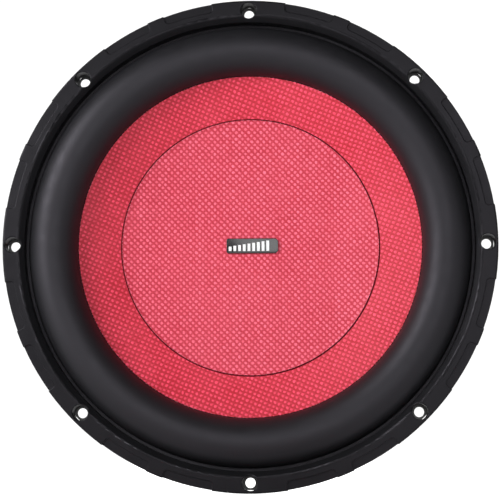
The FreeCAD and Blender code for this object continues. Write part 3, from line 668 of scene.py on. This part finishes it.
# Gives a woven sheet its back: rings run from its outer edge round behind it, to its inner edge or
# to a pole.
def closeBehind(mesh, middle, rings, count, pole=None):
    work = bmesh.new()
    work.from_mesh(mesh)
    bmesh.ops.remove_doubles(work, verts=work.verts, dist=5e-6)
    loose = [v for v in work.verts if any(len(edge.link_faces) == 1 for edge in v.link_edges)]
    outer = sortedRound([v for v in loose if math.hypot(v.co.x, v.co.z) > middle * mm])
    inner = sortedRound([v for v in loose if math.hypot(v.co.x, v.co.z) <= middle * mm])
    last = outer
    for radius, height in rings:
        ring = ringOfPoints(work, radius, height, count)
        stitch(work, last, ring)
        last = ring
    if inner:
        stitch(work, last, inner)
    if pole is not None:
        centre = work.verts.new((0.0, -pole * mm, 0.0))
        for first, second in zip(last, last[1:] + last[:1]):
            work.faces.new((first, second, centre))
    work.to_mesh(mesh)
    work.free()
    return mesh


def makeCone():
    mesh = grownMesh("coneSkin", makeWovenDisc("coneWeave"), {
        "Cells": cone["cells"], "Pitch": cone["pitch"] * mm, "Turn": math.radians(cone["turn"]),
        "Outer": cone["radius"] * mm, "Inner": cone["wovenFrom"] * mm, "Relief": cone["relief"] * mm,
        "Edge Height": cone["edge"] * mm, "Slope": coneSlope})
    smooth = cone["wovenFrom"] - cone["overlap"]
    rings = [
        (cone["radius"], coneFront(cone["radius"]) - cone["skin"]),
        (cone["hole"], coneFront(cone["hole"]) - cone["skin"]),
        (cone["hole"], coneFront(cone["hole"]) - cone["relief"]),
        (smooth, coneFront(smooth) - cone["relief"]),
    ]
    closeBehind(mesh, (cone["radius"] + cone["wovenFrom"]) / 2, rings, cone["backSteps"])
    return finishPiece("cone_skin_woven", mesh, "coneWeave", "cone", ["cone_skin"],
                       sharpAngle=80.0)


def makeCap():
    mesh = grownMesh("dustCap", makeWovenDisc("capWeave"), {
        "Cells": cap["cells"], "Pitch": cap["pitch"] * mm, "Turn": math.radians(cap["turn"]),
        "Outer": cap["radius"] * mm, "Inner": 0.0, "Relief": cap["relief"] * mm,
        "Edge Height": capTop(cap["radius"]) * mm, "Slope": coneSlope, "Lip": cap["lip"] * mm,
        "Seat": cap["seat"] * mm, "Bowl": capBowl * mm, "Centre Height": capCentre * mm})
    rings = [(cap["radius"], capTop(cap["radius"]) - cap["thickness"])]
    for share in (1.0, 0.75, 0.5, 0.25, 0.0):
        radius = cap["seat"] + capSpan * share
        rings.append((radius, capTop(radius) - cap["thickness"]))
    closeBehind(mesh, cap["radius"] / 2, rings, cap["backSteps"], capCentre - cap["thickness"])
    return finishPiece("dust_cap_woven", mesh, "capWeave", "cone", ["dust_cap"],
                       sharpAngle=80.0)


coneSkin = makeCone()
dustCap = makeCap()
print("woven cone and cap:", len(coneSkin.data.polygons), len(dustCap.data.polygons))


# A thin dark red bead fills the corner where the cap's edge stands on the cone.
capJointBead = dict(width=0.95, tuck=0.1, rise=0.45, sink=0.15, steps=8, turns=360)


def makeCapJointBead():
    inner, outer = cap["radius"] - capJointBead["tuck"], cap["radius"] + capJointBead["width"]
    profile = [(inner, coneFront(inner) - capJointBead["sink"]), (outer, coneFront(outer) - capJointBead["sink"])]
    for step in range(capJointBead["steps"] + 1):
        share = step / capJointBead["steps"]
        radius = outer + (inner - outer) * share
        profile.append((radius, coneFront(radius) + capJointBead["rise"] * (1 - math.sqrt(1 - share ** 2))))
    mesh = turnedMesh("capJointBead", profile, capJointBead["turns"])
    return finishPiece("cap_glue_line", mesh, "darkRedBead", "cone", ())


makeCapJointBead()

# Short ends of cut yarn, where each yarn of the weave meets the round edge.
coneFray = dict(radius=109.75, height=2.35, turn=22.0, pitch=2.0, thick=0.24, shortest=0.3, longest=1.5,
                seed=3)
capFray = dict(radius=82.55, height=-5.5, turn=0.0, pitch=2.0, thick=0.22, shortest=0.25, longest=0.6, seed=8)
cutEnd = dict(sides=5, length=1.0, rise=0.3, flat=0.7, spread=0.99, leanFrom=(-1.75, -0.5, -0.5),
              leanTo=(-1.35, 0.5, 0.5))


def makeCutEnds():
    tree, given, wanted = newGroup("cutEnds", "GeometryNodeTree", {
        "Radius": 0.1, "Height": 0.0, "Turn": 0.0, "Pitch": 0.002, "Thick": 0.0002, "Shortest": 0.0003,
        "Longest": 0.001, "Seed": 1}, geometryOut)
    width = times(tree, given["Radius"], 2 * cutEnd["spread"])
    count = calc(tree, "FLOOR", over(tree, width, given["Pitch"]))
    line = put(tree, "GeometryNodeMeshLine", {"Count": count}).outputs[0]
    index = put(tree, "GeometryNodeInputIndex").outputs[0]
    step = minus(tree, index, times(tree, minus(tree, count, 1.0), 0.5))
    across = times(tree, step, given["Pitch"])
    squares = minus(tree, calc(tree, "POWER", given["Radius"], 2.0), calc(tree, "POWER", across, 2.0))
    reach = calc(tree, "SQRT", calc(tree, "MAXIMUM", 0.0, squares))
    place = together(tree, across, reach, given["Height"])
    line = put(tree, "GeometryNodeSetPosition", {"Geometry": line, "Position": place}).outputs[0]
    strand = put(tree, "GeometryNodeMeshCylinder", {"Vertices": cutEnd["sides"], "Radius": given["Thick"],
                                                    "Depth": cutEnd["length"] * mm})
    strand = moved(tree, strand.outputs[0], shift=(0.0, 0.0, cutEnd["rise"] * mm))
    sides = []
    for quarter in range(4):
        seed = plus(tree, given["Seed"], float(quarter * 10))
        lean = put(tree, "FunctionNodeRandomValue", {0: cutEnd["leanFrom"], 1: cutEnd["leanTo"],
                                                     "Seed": seed}, data_type="FLOAT_VECTOR").outputs[0]
        longer = put(tree, "FunctionNodeRandomValue", {2: given["Shortest"], 3: given["Longest"],
                                                       "Seed": plus(tree, seed, 5.0)},
                     data_type="FLOAT").outputs[1]
        stretch = together(tree, 1.0, cutEnd["flat"], times(tree, longer, 1.0 / (cutEnd["length"] * mm)))
        ends = put(tree, "GeometryNodeInstanceOnPoints", {
            "Points": line, "Instance": strand, "Rotation": lean, "Scale": stretch}).outputs[0]
        sides.append(moved(tree, ends, turn=(0.0, 0.0, quarter * math.pi / 2)))
    turn = together(tree, z=given["Turn"])
    whole = moved(tree, moved(tree, joined(tree, *sides), turn=turn), turn=(math.pi / 2, 0.0, 0.0))
    endTree(tree, whole, wanted, "cutYarn")
    return tree


cutEnds = makeCutEnds()


def makeFray(name, sizes):
    mesh = grownMesh(name, cutEnds, {
        "Radius": sizes["radius"] * mm, "Height": sizes["height"] * mm, "Turn": math.radians(sizes["turn"]),
        "Pitch": sizes["pitch"] * mm, "Thick": sizes["thick"] * mm, "Shortest": sizes["shortest"] * mm,
        "Longest": sizes["longest"] * mm, "Seed": sizes["seed"]})
    return finishPiece(name, mesh, "cutYarn", "cone", ())


makeFray("cone_cut_ends", coneFray)
makeFray("cap_cut_ends", capFray)
print("cut yarn ends")


# surround and spider, which bend between the frame and the cone

surround = dict(thickness=1.2, lipOuter=145.6, lipHeight=2.2, outerFoot=141.0, innerFoot=111.0, roll=15.0,
                rollHeight=3.3, foot=1.1, coneLip=8.5, lipDrop=1.8, arcSteps=22, turns=288)
spider = dict(thickness=0.6, collar=26.3, collarHeight=5.2, height=-42.05, waveHeight=5.6, pitch=9.2,
              bend=1.7, lip=83.0, outer=94.0, held=2.0, arcSteps=4, turns=240)


# Points of a piece that crosses from the frame to the cone move by their distance from the axis.
# Lays a piece's points out by their distance from the axis, bakes its transform and sets the points back
# where they were.
def blendByRadius(piece):
    mesh = piece.data
    rest = np.zeros(len(mesh.vertices) * 3)
    mesh.vertices.foreach_get("co", rest)
    points = rest.reshape(-1, 3)
    flat = np.stack([np.hypot(points[:, 0], points[:, 2]), points[:, 1], points[:, 2] * 0.0], axis=1)
    mesh.vertices.foreach_set("co", flat.ravel())
    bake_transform(piece)
    mesh.vertices.foreach_set("co", rest)
    mesh.update()
    return piece


def makeSurround():
    lipMiddle = surround["lipDrop"] + surround["thickness"] / 2 / math.cos(math.radians(cone["angle"]))
    lipEnd = surround["innerFoot"] - surround["coneLip"]
    top = surround["rollHeight"] + surround["roll"]
    line = bentLine([
        (surround["lipOuter"], surround["lipHeight"]),
        (surround["outerFoot"], surround["lipHeight"]),
        (surround["outerFoot"], top),
        (surround["innerFoot"], top),
        (surround["innerFoot"], coneFront(surround["innerFoot"]) - lipMiddle),
        (lipEnd, coneFront(lipEnd) - lipMiddle),
    ], [surround["foot"], surround["roll"], surround["roll"], surround["foot"]], surround["arcSteps"])
    half = surround["thickness"] / 2
    mesh = turnedMesh("surround", sheetProfile(line, -half, half), surround["turns"])
    piece = finishPiece("surround_roll", mesh, "surroundRubber", None, ["surround"])
    return blendByRadius(piece)


def spiderPoints():
    low = spider["height"] - spider["waveHeight"] / 2
    high = spider["height"] + spider["waveHeight"] / 2
    first = spider["collar"] + spider["pitch"] / 2
    last = spider["lip"] - spider["pitch"] / 2
    halves = 2 * int((last - first) / spider["pitch"]) + 1
    points = [(spider["collar"], low + spider["collarHeight"]), (spider["collar"], low)]
    for place in range(halves + 1):
        points.append((first + place * (last - first) / halves, low if place % 2 else high))
    return points + [(spider["lip"], spider["height"]), (spider["outer"], spider["height"])]


def makeSpider():
    points = spiderPoints()
    bends = [spider["bend"] / 2] + [spider["bend"]] * (len(points) - 3)
    half = spider["thickness"] / 2
    line = bentLine(points, bends, spider["arcSteps"])
    mesh = turnedMesh("spider", sheetProfile(line, -half, half), spider["turns"])
    piece = finishPiece("spider_corrugated", mesh, "spiderCloth", None, ["spider"])
    return blendByRadius(piece)


leads = dict(offset=3.5, width=2.2, thickness=0.8, gap=0.05, around=10, step=0.35, plait=1.6, relief=0.07,
             arcSteps=8)


# Two flat plaits on one side, stitched along the waves of the spider.
def makeLeads(name, side):
    points = spiderPoints()[2:]
    back = np.array(spiderPoints()[1]) - np.array(points[0])
    start = np.array(points[0]) + back / np.linalg.norm(back) * spider["pitch"] / 4
    points = [tuple(start)] + points[:-1] + [(spider["outer"] - leads["gap"], spider["height"])]
    line = bentLine(points, [spider["bend"]] * (len(points) - 2), leads["arcSteps"])
    places = np.array([p for p, n in line])
    normals = np.array([n for p, n in line])
    runs = np.concatenate([[0.0], np.cumsum(np.linalg.norm(np.diff(places, axis=0), axis=1))])
    samples = np.linspace(0.0, runs[-1], int(runs[-1] / leads["step"]))
    lift = spider["thickness"] / 2 + leads["gap"] + leads["thickness"] / 2
    vertices, faces = [], []
    for offset in (-leads["offset"], leads["offset"]):
        begin = len(vertices)
        for sample in samples:
            middle = [np.interp(sample, runs, places[:, axis]) for axis in (0, 1)]
            normal = np.array([np.interp(sample, runs, normals[:, axis]) for axis in (0, 1)])
            normal = normal / np.linalg.norm(normal)
            for step in range(leads["around"]):
                turn = 2 * math.pi * step / leads["around"]
                plait = 1 - leads["relief"] + leads["relief"] * (
                    math.sin(turn * 2 + sample * 2 * math.pi / leads["plait"])
                    * math.sin(turn * 2 - sample * 2 * math.pi / leads["plait"]))
                out = lift + math.sin(turn) * leads["thickness"] / 2 * plait
                across = offset + math.cos(turn) * leads["width"] / 2 * plait
                radius, height = middle[0] + normal[0] * out, middle[1] + normal[1] * out
                vertices.append((side * radius * mm, -height * mm, across * mm))
        rows = len(samples)
        ring = leads["around"]
        for row in range(rows - 1):
            for step in range(ring):
                a, b = begin + row * ring + step, begin + row * ring + (step + 1) % ring
                faces.append((a, b, b + ring, a + ring))
        faces.append([begin + step for step in range(ring)])
        faces.append([begin + (rows - 1) * ring + step for step in range(ring)])
    mesh = meshOf(name, vertices, faces)
    piece = finishPiece(name, mesh, "tinselBraid", None, [name.replace("_plaited", "")])
    return blendByRadius(piece)


surroundRoll = makeSurround()
spiderCloth = makeSpider()
makeLeads("right_tinsel_leads_plaited", 1)
makeLeads("left_tinsel_leads_plaited", -1)
print("surround, spider and leads")


# badge with rising bars

badge = dict(length=33.5, width=9.7, thickness=1.4, leftCorner=1.2, rightCorner=2.6, cornerSteps=10,
             right=1.2, up=1.1, edge=0.3, bars=9, barWidth=1.8, barPitch=3.05, lowest=3.0, highest=6.8,
             barHeight=0.35, margin=1.4, barShift=-2.2, barEdge=0.08)


def withEdges(mesh, width, segments=2, angle=40.0):
    holder = addObject("edgeHolder", mesh)
    modifier = holder.modifiers.new("edges", "BEVEL")
    modifier.width = width * mm
    modifier.segments = segments
    modifier.limit_method = "ANGLE"
    modifier.angle_limit = math.radians(angle)
    return settledMesh(holder)


def makeBadge():
    halfLength, halfWidth = badge["length"] / 2, badge["width"] / 2
    left, right = badge["leftCorner"], badge["rightCorner"]
    corners = [(halfLength, halfWidth, right, 0), (-halfLength, halfWidth, left, 1),
               (-halfLength, -halfWidth, left, 2), (halfLength, -halfWidth, right, 3)]
    outline = []
    for x, z, radius, quarter in corners:
        middleX, middleZ = x - math.copysign(radius, x), z - math.copysign(radius, z)
        for step in range(badge["cornerSteps"] + 1):
            turn = (quarter + step / badge["cornerSteps"]) * math.pi / 2
            outline.append((middleX + radius * math.cos(turn), middleZ + radius * math.sin(turn)))
    count = len(outline)
    points = [((x + badge["right"]) * mm, -height * mm, (z + badge["up"]) * mm)
              for height in (capCentre, capCentre + badge["thickness"]) for x, z in outline]
    faces = [list(range(count)), list(range(count, 2 * count))]
    faces += [(a, (a + 1) % count, (a + 1) % count + count, a + count) for a in range(count)]
    mesh = cleanMesh(meshOf("badge", points, faces))
    mesh = withEdges(mesh, badge["edge"], segments=3, angle=60.0)
    return finishPiece("badge_plate_edged", mesh, "badgeBlack", "cone", ["badge_plate"],
                       sharpAngle=60.0)


def makeBars():
    tree, given, wanted = newGroup("risingBars", "GeometryNodeTree", {
        "Bars": 9, "Pitch": 0.0026, "Width": 0.0013, "Lowest": 0.001, "Highest": 0.006, "Thickness": 0.0003,
        "Middle": 0.0, "Foot": -0.003, "Face": 0.01}, geometryOut)
    line = put(tree, "GeometryNodeMeshLine", {"Count": given["Bars"]}).outputs[0]
    index = put(tree, "GeometryNodeInputIndex").outputs[0]
    last = minus(tree, given["Bars"], 1.0)
    share = over(tree, index, last)
    growth = minus(tree, given["Highest"], given["Lowest"])
    tall = plus(tree, given["Lowest"], times(tree, share, growth))
    across = times(tree, minus(tree, index, times(tree, last, 0.5)), given["Pitch"])
    across = plus(tree, across, given["Middle"])
    up = plus(tree, given["Foot"], times(tree, tall, 0.5))
    forward = plus(tree, given["Face"], times(tree, given["Thickness"], 0.5))
    depth = times(tree, forward, -1.0)
    place = together(tree, across, depth, up)
    line = put(tree, "GeometryNodeSetPosition", {"Geometry": line, "Position": place}).outputs[0]
    block = put(tree, "GeometryNodeMeshCube", {"Size": (1.0, 1.0, 1.0)}).outputs[0]
    size = together(tree, given["Width"], given["Thickness"], tall)
    bars = put(tree, "GeometryNodeInstanceOnPoints", {"Points": line, "Instance": block, "Scale": size})
    endTree(tree, bars.outputs[0], wanted, "badgeSilver")
    mesh = grownMesh("badgeBars", tree, {
        "Bars": badge["bars"], "Pitch": badge["barPitch"] * mm, "Width": badge["barWidth"] * mm,
        "Lowest": badge["lowest"] * mm, "Highest": badge["highest"] * mm,
        "Thickness": badge["barHeight"] * mm, "Middle": (badge["right"] + badge["barShift"]) * mm,
        "Foot": (badge["up"] + badge["margin"] - badge["width"] / 2) * mm,
        "Face": (capCentre + badge["thickness"]) * mm})
    return finishPiece("badge_bars_edged", withEdges(mesh, badge["barEdge"]), "badgeSilver", "cone",
                       ["badge_bars"])


makeBadge()
makeBars()
print("badge")


# windings and springs

winding = dict(middle=-70.0, height=30.0, wire=0.6, turns=50, former=25.65, around=6, resolution=48)
spring = dict(low=2.6, high=9.85, radius=2.62, wire=0.36, coils=6.5, around=6, resolution=20,
              posts=(("black", -7.6), ("red", 7.6)))
terminal = dict(railTop=(139.2, -16.0), shelfCorner=(95.5, -43.2), rise=18.85, sheet=1.6)


def makeCoilTree(material):
    tree, given, wanted = newGroup("coil_" + material, "GeometryNodeTree", {
        "Resolution": 32, "Coils": 10.0, "Radius": 0.01, "Height": 0.01, "Wire": 0.0003, "Sides": 6},
        geometryOut)
    spiral = put(tree, "GeometryNodeCurveSpiral", {
        "Resolution": given["Resolution"], "Rotations": given["Coils"], "Start Radius": given["Radius"],
        "End Radius": given["Radius"], "Height": given["Height"]}).outputs[0]
    section = put(tree, "GeometryNodeCurvePrimitiveCircle", {"Resolution": given["Sides"],
                                                             "Radius": given["Wire"]}).outputs[0]
    wire = put(tree, "GeometryNodeCurveToMesh", {"Curve": spiral, "Profile Curve": section,
                                                 "Fill Caps": True}).outputs[0]
    endTree(tree, wire, wanted, material)
    return tree


def makeWindings():
    tree = makeCoilTree("copperWire")
    for layer, name in enumerate(("inner_winding", "outer_winding")):
        radius = winding["former"] + winding["wire"] * (layer + 0.5)
        height = winding["height"] - winding["wire"]
        mesh = grownMesh(name, tree, {
            "Resolution": winding["resolution"], "Coils": float(winding["turns"] - 1), "Radius": radius * mm,
            "Height": height * mm, "Wire": winding["wire"] / 2 * mm, "Sides": winding["around"]})
        mesh.transform(Matrix.Translation((0.0, (-winding["middle"] + height / 2) * mm, 0.0))
                       @ Matrix.Rotation(math.pi / 2, 4, "X"))
        finishPiece(name + "_wound", mesh, "copperWire", "cone", [name], sharpAngle=60.0)


# Axes of a terminal on its leg: x up the leg, y across it and z out of its back.
def terminalAxes(side):
    top, corner = np.array(terminal["railTop"]), np.array(terminal["shelfCorner"])
    up = (top - corner) / np.linalg.norm(top - corner)
    out = np.array((up[1], -up[0]))
    seat = corner + up * terminal["rise"] + out * terminal["sheet"] / 2
    axes = Matrix(((up[0], 0.0, out[0], seat[0] * mm), (-up[1], 0.0, -out[1], -seat[1] * mm),
                   (0.0, -1.0, 0.0, 0.0), (0.0, 0.0, 0.0, 1.0)))
    return axes if side == "right" else Matrix.Rotation(math.pi, 4, "Y") @ axes


def makeSprings():
    tree = makeCoilTree("springSteel")
    for side in ("right", "left"):
        axes = terminalAxes(side)
        for colour, post in spring["posts"]:
            mesh = grownMesh("spring", tree, {
                "Resolution": spring["resolution"], "Coils": spring["coils"], "Radius": spring["radius"] * mm,
                "Height": (spring["high"] - spring["low"] - 2 * spring["wire"]) * mm,
                "Wire": spring["wire"] * mm, "Sides": spring["around"]})
            mesh.transform(axes @ Matrix.Translation((post * mm, 0.0, (spring["low"] + spring["wire"]) * mm)))
            name = f"{side}_{colour}_spring"
            piece = finishPiece(name + "_coiled", mesh, "springSteel", "frame", [name])
            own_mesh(piece)


makeWindings()
makeSprings()
print("windings and springs")


# magnet boot, vent screen and screws

boot = dict(inner=78.1, outer=81.0, start=-72.0, back=-124.5, lipRadius=60.0, lipFront=-122.1, corner=4.0,
            ease=0.4, cornerSteps=10, grooves=(-80.0, -84.0, -111.0, -115.0), grooveWidth=1.4,
            grooveDepth=0.55, turns=256)
screen = dict(radius=13.85, middle=-127.3, pitch=1.15, wire=0.2, wave=0.21)
plateScrew = dict(count=6, circle=58.0, first=30.0, seat=-64.4, head=4.5, headHeight=2.8, shank=2.45,
                  tip=-71.95, socket=1.9, socketDepth=1.6)
blockScrew = dict(place=20.5, plate=3.0, head=3.4, headHeight=2.0, shank=1.75, tip=-4.55, slot=0.75,
                  slotDepth=1.1)


def makeBoot():
    outer, ease = boot["outer"], boot["ease"]
    profile = [(boot["inner"], boot["start"]), (outer - ease, boot["start"]), (outer, boot["start"] - ease)]
    for groove in boot["grooves"]:
        half = boot["grooveWidth"] / 2
        profile += [(outer, groove + half), (outer - boot["grooveDepth"], groove + half * 0.5),
                    (outer - boot["grooveDepth"], groove - half * 0.5), (outer, groove - half)]
    for step in range(boot["cornerSteps"] + 1):
        turn = math.pi / 2 * step / boot["cornerSteps"]
        profile.append((outer - boot["corner"] * (1 - math.cos(turn)),
                        boot["back"] + boot["corner"] * (1 - math.sin(turn))))
    profile += [(boot["lipRadius"] + ease, boot["back"]), (boot["lipRadius"], boot["back"] + ease),
                (boot["lipRadius"], boot["lipFront"]), (boot["inner"], boot["lipFront"])]
    return finishPiece("magnet_boot_grooved", turnedMesh("boot", profile, boot["turns"]), "bootRubber",
                       "frame", ["magnet_boot"], sharpAngle=30.0)


def makeScreen():
    tree, given, wanted = newGroup("wovenScreen", "GeometryNodeTree", {
        "Radius": 0.01, "Pitch": 0.001, "Wire": 0.0002, "Wave": 0.0002}, geometryOut)
    wires = calc(tree, "FLOOR", over(tree, times(tree, given["Radius"], 2.0), given["Pitch"]))
    side = times(tree, wires, given["Pitch"])
    families = []
    for quarter in range(2):
        sheet = put(tree, "GeometryNodeMeshGrid", {
            "Size X": side, "Size Y": side, "Vertices X": plus(tree, wires, 1.0),
            "Vertices Y": plus(tree, times(tree, wires, 4.0), 1.0)}).outputs[0]
        place = put(tree, "GeometryNodeInputPosition").outputs[0]
        radius = lengthOf(tree, place)
        limit = minus(tree, given["Radius"], given["Wire"])
        spare = put(tree, "FunctionNodeCompare", {0: radius, 1: limit}, operation="GREATER_THAN").outputs[0]
        sheet = put(tree, "GeometryNodeDeleteGeometry", {"Geometry": sheet, "Selection": spare},
                    domain="POINT", mode="ALL").outputs[0]
        ends = put(tree, "GeometryNodeInputMeshEdgeVertices").outputs
        reach = vectorCalc(tree, "SUBTRACT", {0: ends["Position 1"], 1: ends["Position 2"]})
        crosswise = calc(tree, "ABSOLUTE", apart(tree, reach)["X"])
        lengthwise = calc(tree, "LESS_THAN", crosswise, 1e-6)
        curve = put(tree, "GeometryNodeMeshToCurve", {"Mesh": sheet, "Selection": lengthwise}).outputs[0]
        split = apart(tree, place)
        row = calc(tree, "ROUND", over(tree, split["X"], given["Pitch"]))
        along = over(tree, split["Y"], given["Pitch"])
        swing = wave(tree, plus(tree, along, plus(tree, row, quarter + 0.5)))
        offset = together(tree, z=times(tree, swing, given["Wave"]))
        curve = put(tree, "GeometryNodeSetPosition", {"Geometry": curve, "Offset": offset}).outputs[0]
        section = put(tree, "GeometryNodeCurvePrimitiveCircle", {"Resolution": 5, "Radius": given["Wire"]})
        wire = put(tree, "GeometryNodeCurveToMesh", {"Curve": curve, "Profile Curve": section.outputs[0],
                                                     "Fill Caps": True}).outputs[0]
        families.append(moved(tree, wire, turn=(0.0, 0.0, quarter * math.pi / 2)))
    endTree(tree, joined(tree, *families), wanted, "wireMesh")
    mesh = grownMesh("screen", tree, {"Radius": screen["radius"] * mm, "Pitch": screen["pitch"] * mm,
                                      "Wire": screen["wire"] * mm, "Wave": screen["wave"] * mm})
    mesh.transform(Matrix.Translation((0.0, -screen["middle"] * mm, 0.0))
                   @ Matrix.Rotation(math.pi / 2, 4, "X"))
    return finishPiece("vent_screen_woven", mesh, "wireMesh", "frame", ["vent_screen"])


# A screw with a domed head, its drive cut as a hexagon or a cross. It stands on z = 0 and points to -z.
def screwMesh(name, head, headHeight, shank, tip, sides, drive, depth):
    profile = [(0.0, tip), (shank * 0.7, tip), (shank, tip + shank * 0.3), (shank, 0.0), (head - 0.25, 0.0),
               (head, 0.25), (head, headHeight * 0.55), (head * 0.93, headHeight * 0.82),
               (head * 0.78, headHeight * 0.97), (head * 0.6, headHeight)]
    steps = 48
    points, faces = [], []
    for radius, height in profile[1:]:
        for step in range(steps):
            turn = 2 * math.pi * step / steps
            points.append((radius * math.cos(turn), radius * math.sin(turn), height))
    rows = len(profile) - 1
    for level in range(2):
        for step in range(steps):
            turn = 2 * math.pi * step / steps
            if sides == 6:
                part = (turn + math.pi / 6) % (math.pi / 3) - math.pi / 6
                reach = drive / math.cos(part)
            else:
                part = abs((turn + math.pi / 4) % (math.pi / 2) - math.pi / 4)
                reach = min(head * 0.52, drive * 0.5 / max(math.sin(part), 1e-3))
            points.append((reach * math.cos(turn), reach * math.sin(turn), headHeight - level * depth))
    points += [(0.0, 0.0, tip), (0.0, 0.0, headHeight - depth)]
    low, bottom = len(points) - 2, len(points) - 1
    for row in range(rows + 1):
        for step in range(steps):
            a, b = row * steps + step, row * steps + (step + 1) % steps
            faces.append((a, b, b + steps, a + steps))
    for step in range(steps):
        faces.append((low, (step + 1) % steps, step))
        inner = (rows + 1) * steps
        faces.append((bottom, inner + step, inner + (step + 1) % steps))
    return cleanMesh(meshOf(name, [tuple(c * mm for c in point) for point in points], faces))


def makePlateScrews():
    pattern = addObject("screwPattern", screwMesh(
        "plateScrew", plateScrew["head"], plateScrew["headHeight"], plateScrew["shank"],
        plateScrew["tip"] - plateScrew["seat"], 6, plateScrew["socket"], plateScrew["socketDepth"]))
    tree, given, wanted = newGroup("ringOfScrews", "GeometryNodeTree", {
        "Count": 6, "Circle": 0.05, "First": 0.0, "Seat": 0.0}, geometryOut)
    circle = put(tree, "GeometryNodeMeshCircle", {"Vertices": given["Count"],
                                                  "Radius": given["Circle"]}).outputs[0]
    model = put(tree, "GeometryNodeObjectInfo", {"Object": pattern}).outputs["Geometry"]
    screws = put(tree, "GeometryNodeInstanceOnPoints", {"Points": circle, "Instance": model}).outputs[0]
    turn = together(tree, z=given["First"])
    shift = together(tree, z=given["Seat"])
    screws = moved(tree, moved(tree, screws, shift=shift, turn=turn), turn=(math.pi / 2, 0.0, 0.0))
    endTree(tree, screws, wanted, "zincScrew")
    mesh = grownMesh("plateScrews", tree, {
        "Count": plateScrew["count"], "Circle": plateScrew["circle"] * mm,
        "First": math.radians(plateScrew["first"]), "Seat": plateScrew["seat"] * mm})
    bpy.data.objects.remove(pattern)
    return finishPiece("plate_screws_socketed", mesh, "zincScrew", "frame", ["plate_screws"])


def makeBlockScrews():
    points, faces = [], []
    for side in ("right", "left"):
        one = screwMesh("blockScrew", blockScrew["head"], blockScrew["headHeight"], blockScrew["shank"],
                        blockScrew["tip"] - blockScrew["plate"], 4, blockScrew["slot"],
                        blockScrew["slotDepth"])
        place = (blockScrew["place"] * mm, 0.0, blockScrew["plate"] * mm)
        one.transform(terminalAxes(side) @ Matrix.Translation(place))
        begin = len(points)
        points += [tuple(vertex.co) for vertex in one.vertices]
        faces += [[corner + begin for corner in face.vertices] for face in one.polygons]
    return finishPiece("terminal_screws_crossed", meshOf("blockScrews", points, faces), "zincScrew", "frame",
                       ["terminal_screws"])


makeBoot()
makeScreen()
makePlateScrews()
makeBlockScrews()
print("boot, screen and screws")


# parts that keep their own shape and get a finish

partFinishes = {
    "trim_ring": "ringRubber", "basket": "blackSteel", "cone_body": "pulp", "coil_former": "formerAluminium",
    "coil_leadouts": "copperWire", "neck_glue_bead": "glue", "spider_glue_bead": "glue",
    "top_plate": "platedSteel", "front_magnet": "ferrite", "rear_magnet": "ferrite", "yoke": "platedSteel",
}
sideFinishes = {
    "terminal_body": "terminalPlastic", "terminal_board": "phenolicBoard",
    "terminal_contacts": "contactBrass", "black_button": "blackButton", "red_button": "redButton",
}
for side in ("right", "left"):
    partFinishes.update({f"{side}_{part}": finishName for part, finishName in sideFinishes.items()})
for partName, finishName in partFinishes.items():
    for materialSlot in nodes[partName].material_slots:
        materialSlot.material = materials[finishName]
print("finishes on", len(partFinishes), "parts")


# floor, camera and lights

studio = dict(floorSize=9.0, floorHeight=-157.5, floorGap=0.2, floorColour=(0.85, 0.85, 0.85), paper=1.1,
              roomLight=0.04)
lights = {
    "keyLight": dict(place=(-1.1, -0.85, 0.5), power=21.0, size=0.7),
    "frontLight": dict(place=(0.25, -2.2, 0.35), power=18.5, size=1.4),
    "fillLight": dict(place=(1.2, -0.9, 0.1), power=1.8, size=0.7),
    "backLight": dict(place=(0.9, 1.3, 1.0), power=26.0, size=1.0),
    "backFill": dict(place=(-1.2, 1.2, 0.5), power=13.0, size=1.0),
}
cameraPlace = dict(at=(0.0412, -1.0938, -0.1287), aim=(0.0006, -0.0153, -0.0039), lens=123.55, roll=-0.16)


def makeFloor():
    half = studio["floorSize"] / 2
    height = (studio["floorHeight"] - studio["floorGap"]) * mm
    corners = [(-half, -half, height), (half, -half, height), (half, half, height), (-half, half, height)]
    material, tree, shader = startMaterial("paleFloor", 0.8, 0.0, 0.2)
    shade = useGroup(tree, grain, **{"Scale": 60.0})
    low = solid(studio["floorColour"], 0.99)
    tree.links.new(mixColour(tree, shade["Patches"], low, solid(studio["floorColour"], 1.01)),
                   shader.inputs["Base Color"])
    seen = put(tree, "ShaderNodeLightPath").outputs["Is Camera Ray"]
    shader.inputs["Emission Color"].default_value = (1.0, 1.0, 1.0, 1.0)
    tree.links.new(times(tree, seen, studio["paper"]), shader.inputs["Emission Strength"])
    materials["paleFloor"] = material
    mesh = meshOf("floor", corners, [(0, 1, 2, 3)])
    mesh.materials.append(material)
    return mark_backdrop(addObject("floor", mesh))


def aimed(thing, place, target, roll=0.0):
    thing.location = place
    way = Vector(target) - Vector(place)
    thing.rotation_euler = (way.to_track_quat("-Z", "Y").to_matrix().to_4x4()
                            @ Matrix.Rotation(math.radians(roll), 4, "Z")).to_euler()


def makeCamera():
    data = bpy.data.cameras.new("camera")
    data.sensor_width = 36.0
    data.lens = cameraPlace["lens"]
    data.clip_end = 50.0
    camera = addObject("camera", data)
    aimed(camera, cameraPlace["at"], cameraPlace["aim"], cameraPlace["roll"])
    bpy.context.scene.camera = camera


def makeLight(name, place, power, size):
    data = bpy.data.lights.new(name, "AREA")
    data.energy = power
    data.shape = "SQUARE"
    data.size = size
    aimed(addObject(name, data), place, (0.0, 0.0, 0.0))


def makeRoom():
    world = bpy.data.worlds.new("room")
    world.use_nodes = True
    tree = world.node_tree
    seen = put(tree, "ShaderNodeLightPath").outputs["Is Camera Ray"]
    strength = between(tree, seen, studio["roomLight"], studio["paper"])
    tree.links.new(strength, tree.nodes["Background"].inputs["Strength"])
    tree.nodes["Background"].inputs["Color"].default_value = (1.0, 1.0, 1.0, 1.0)
    bpy.context.scene.world = world
    bpy.context.scene.view_settings.view_transform = "Standard"


makeFloor()
makeCamera()
for lightName, lightSizes in lights.items():
    makeLight(lightName, **lightSizes)
makeRoom()
print("floor, camera and lights")
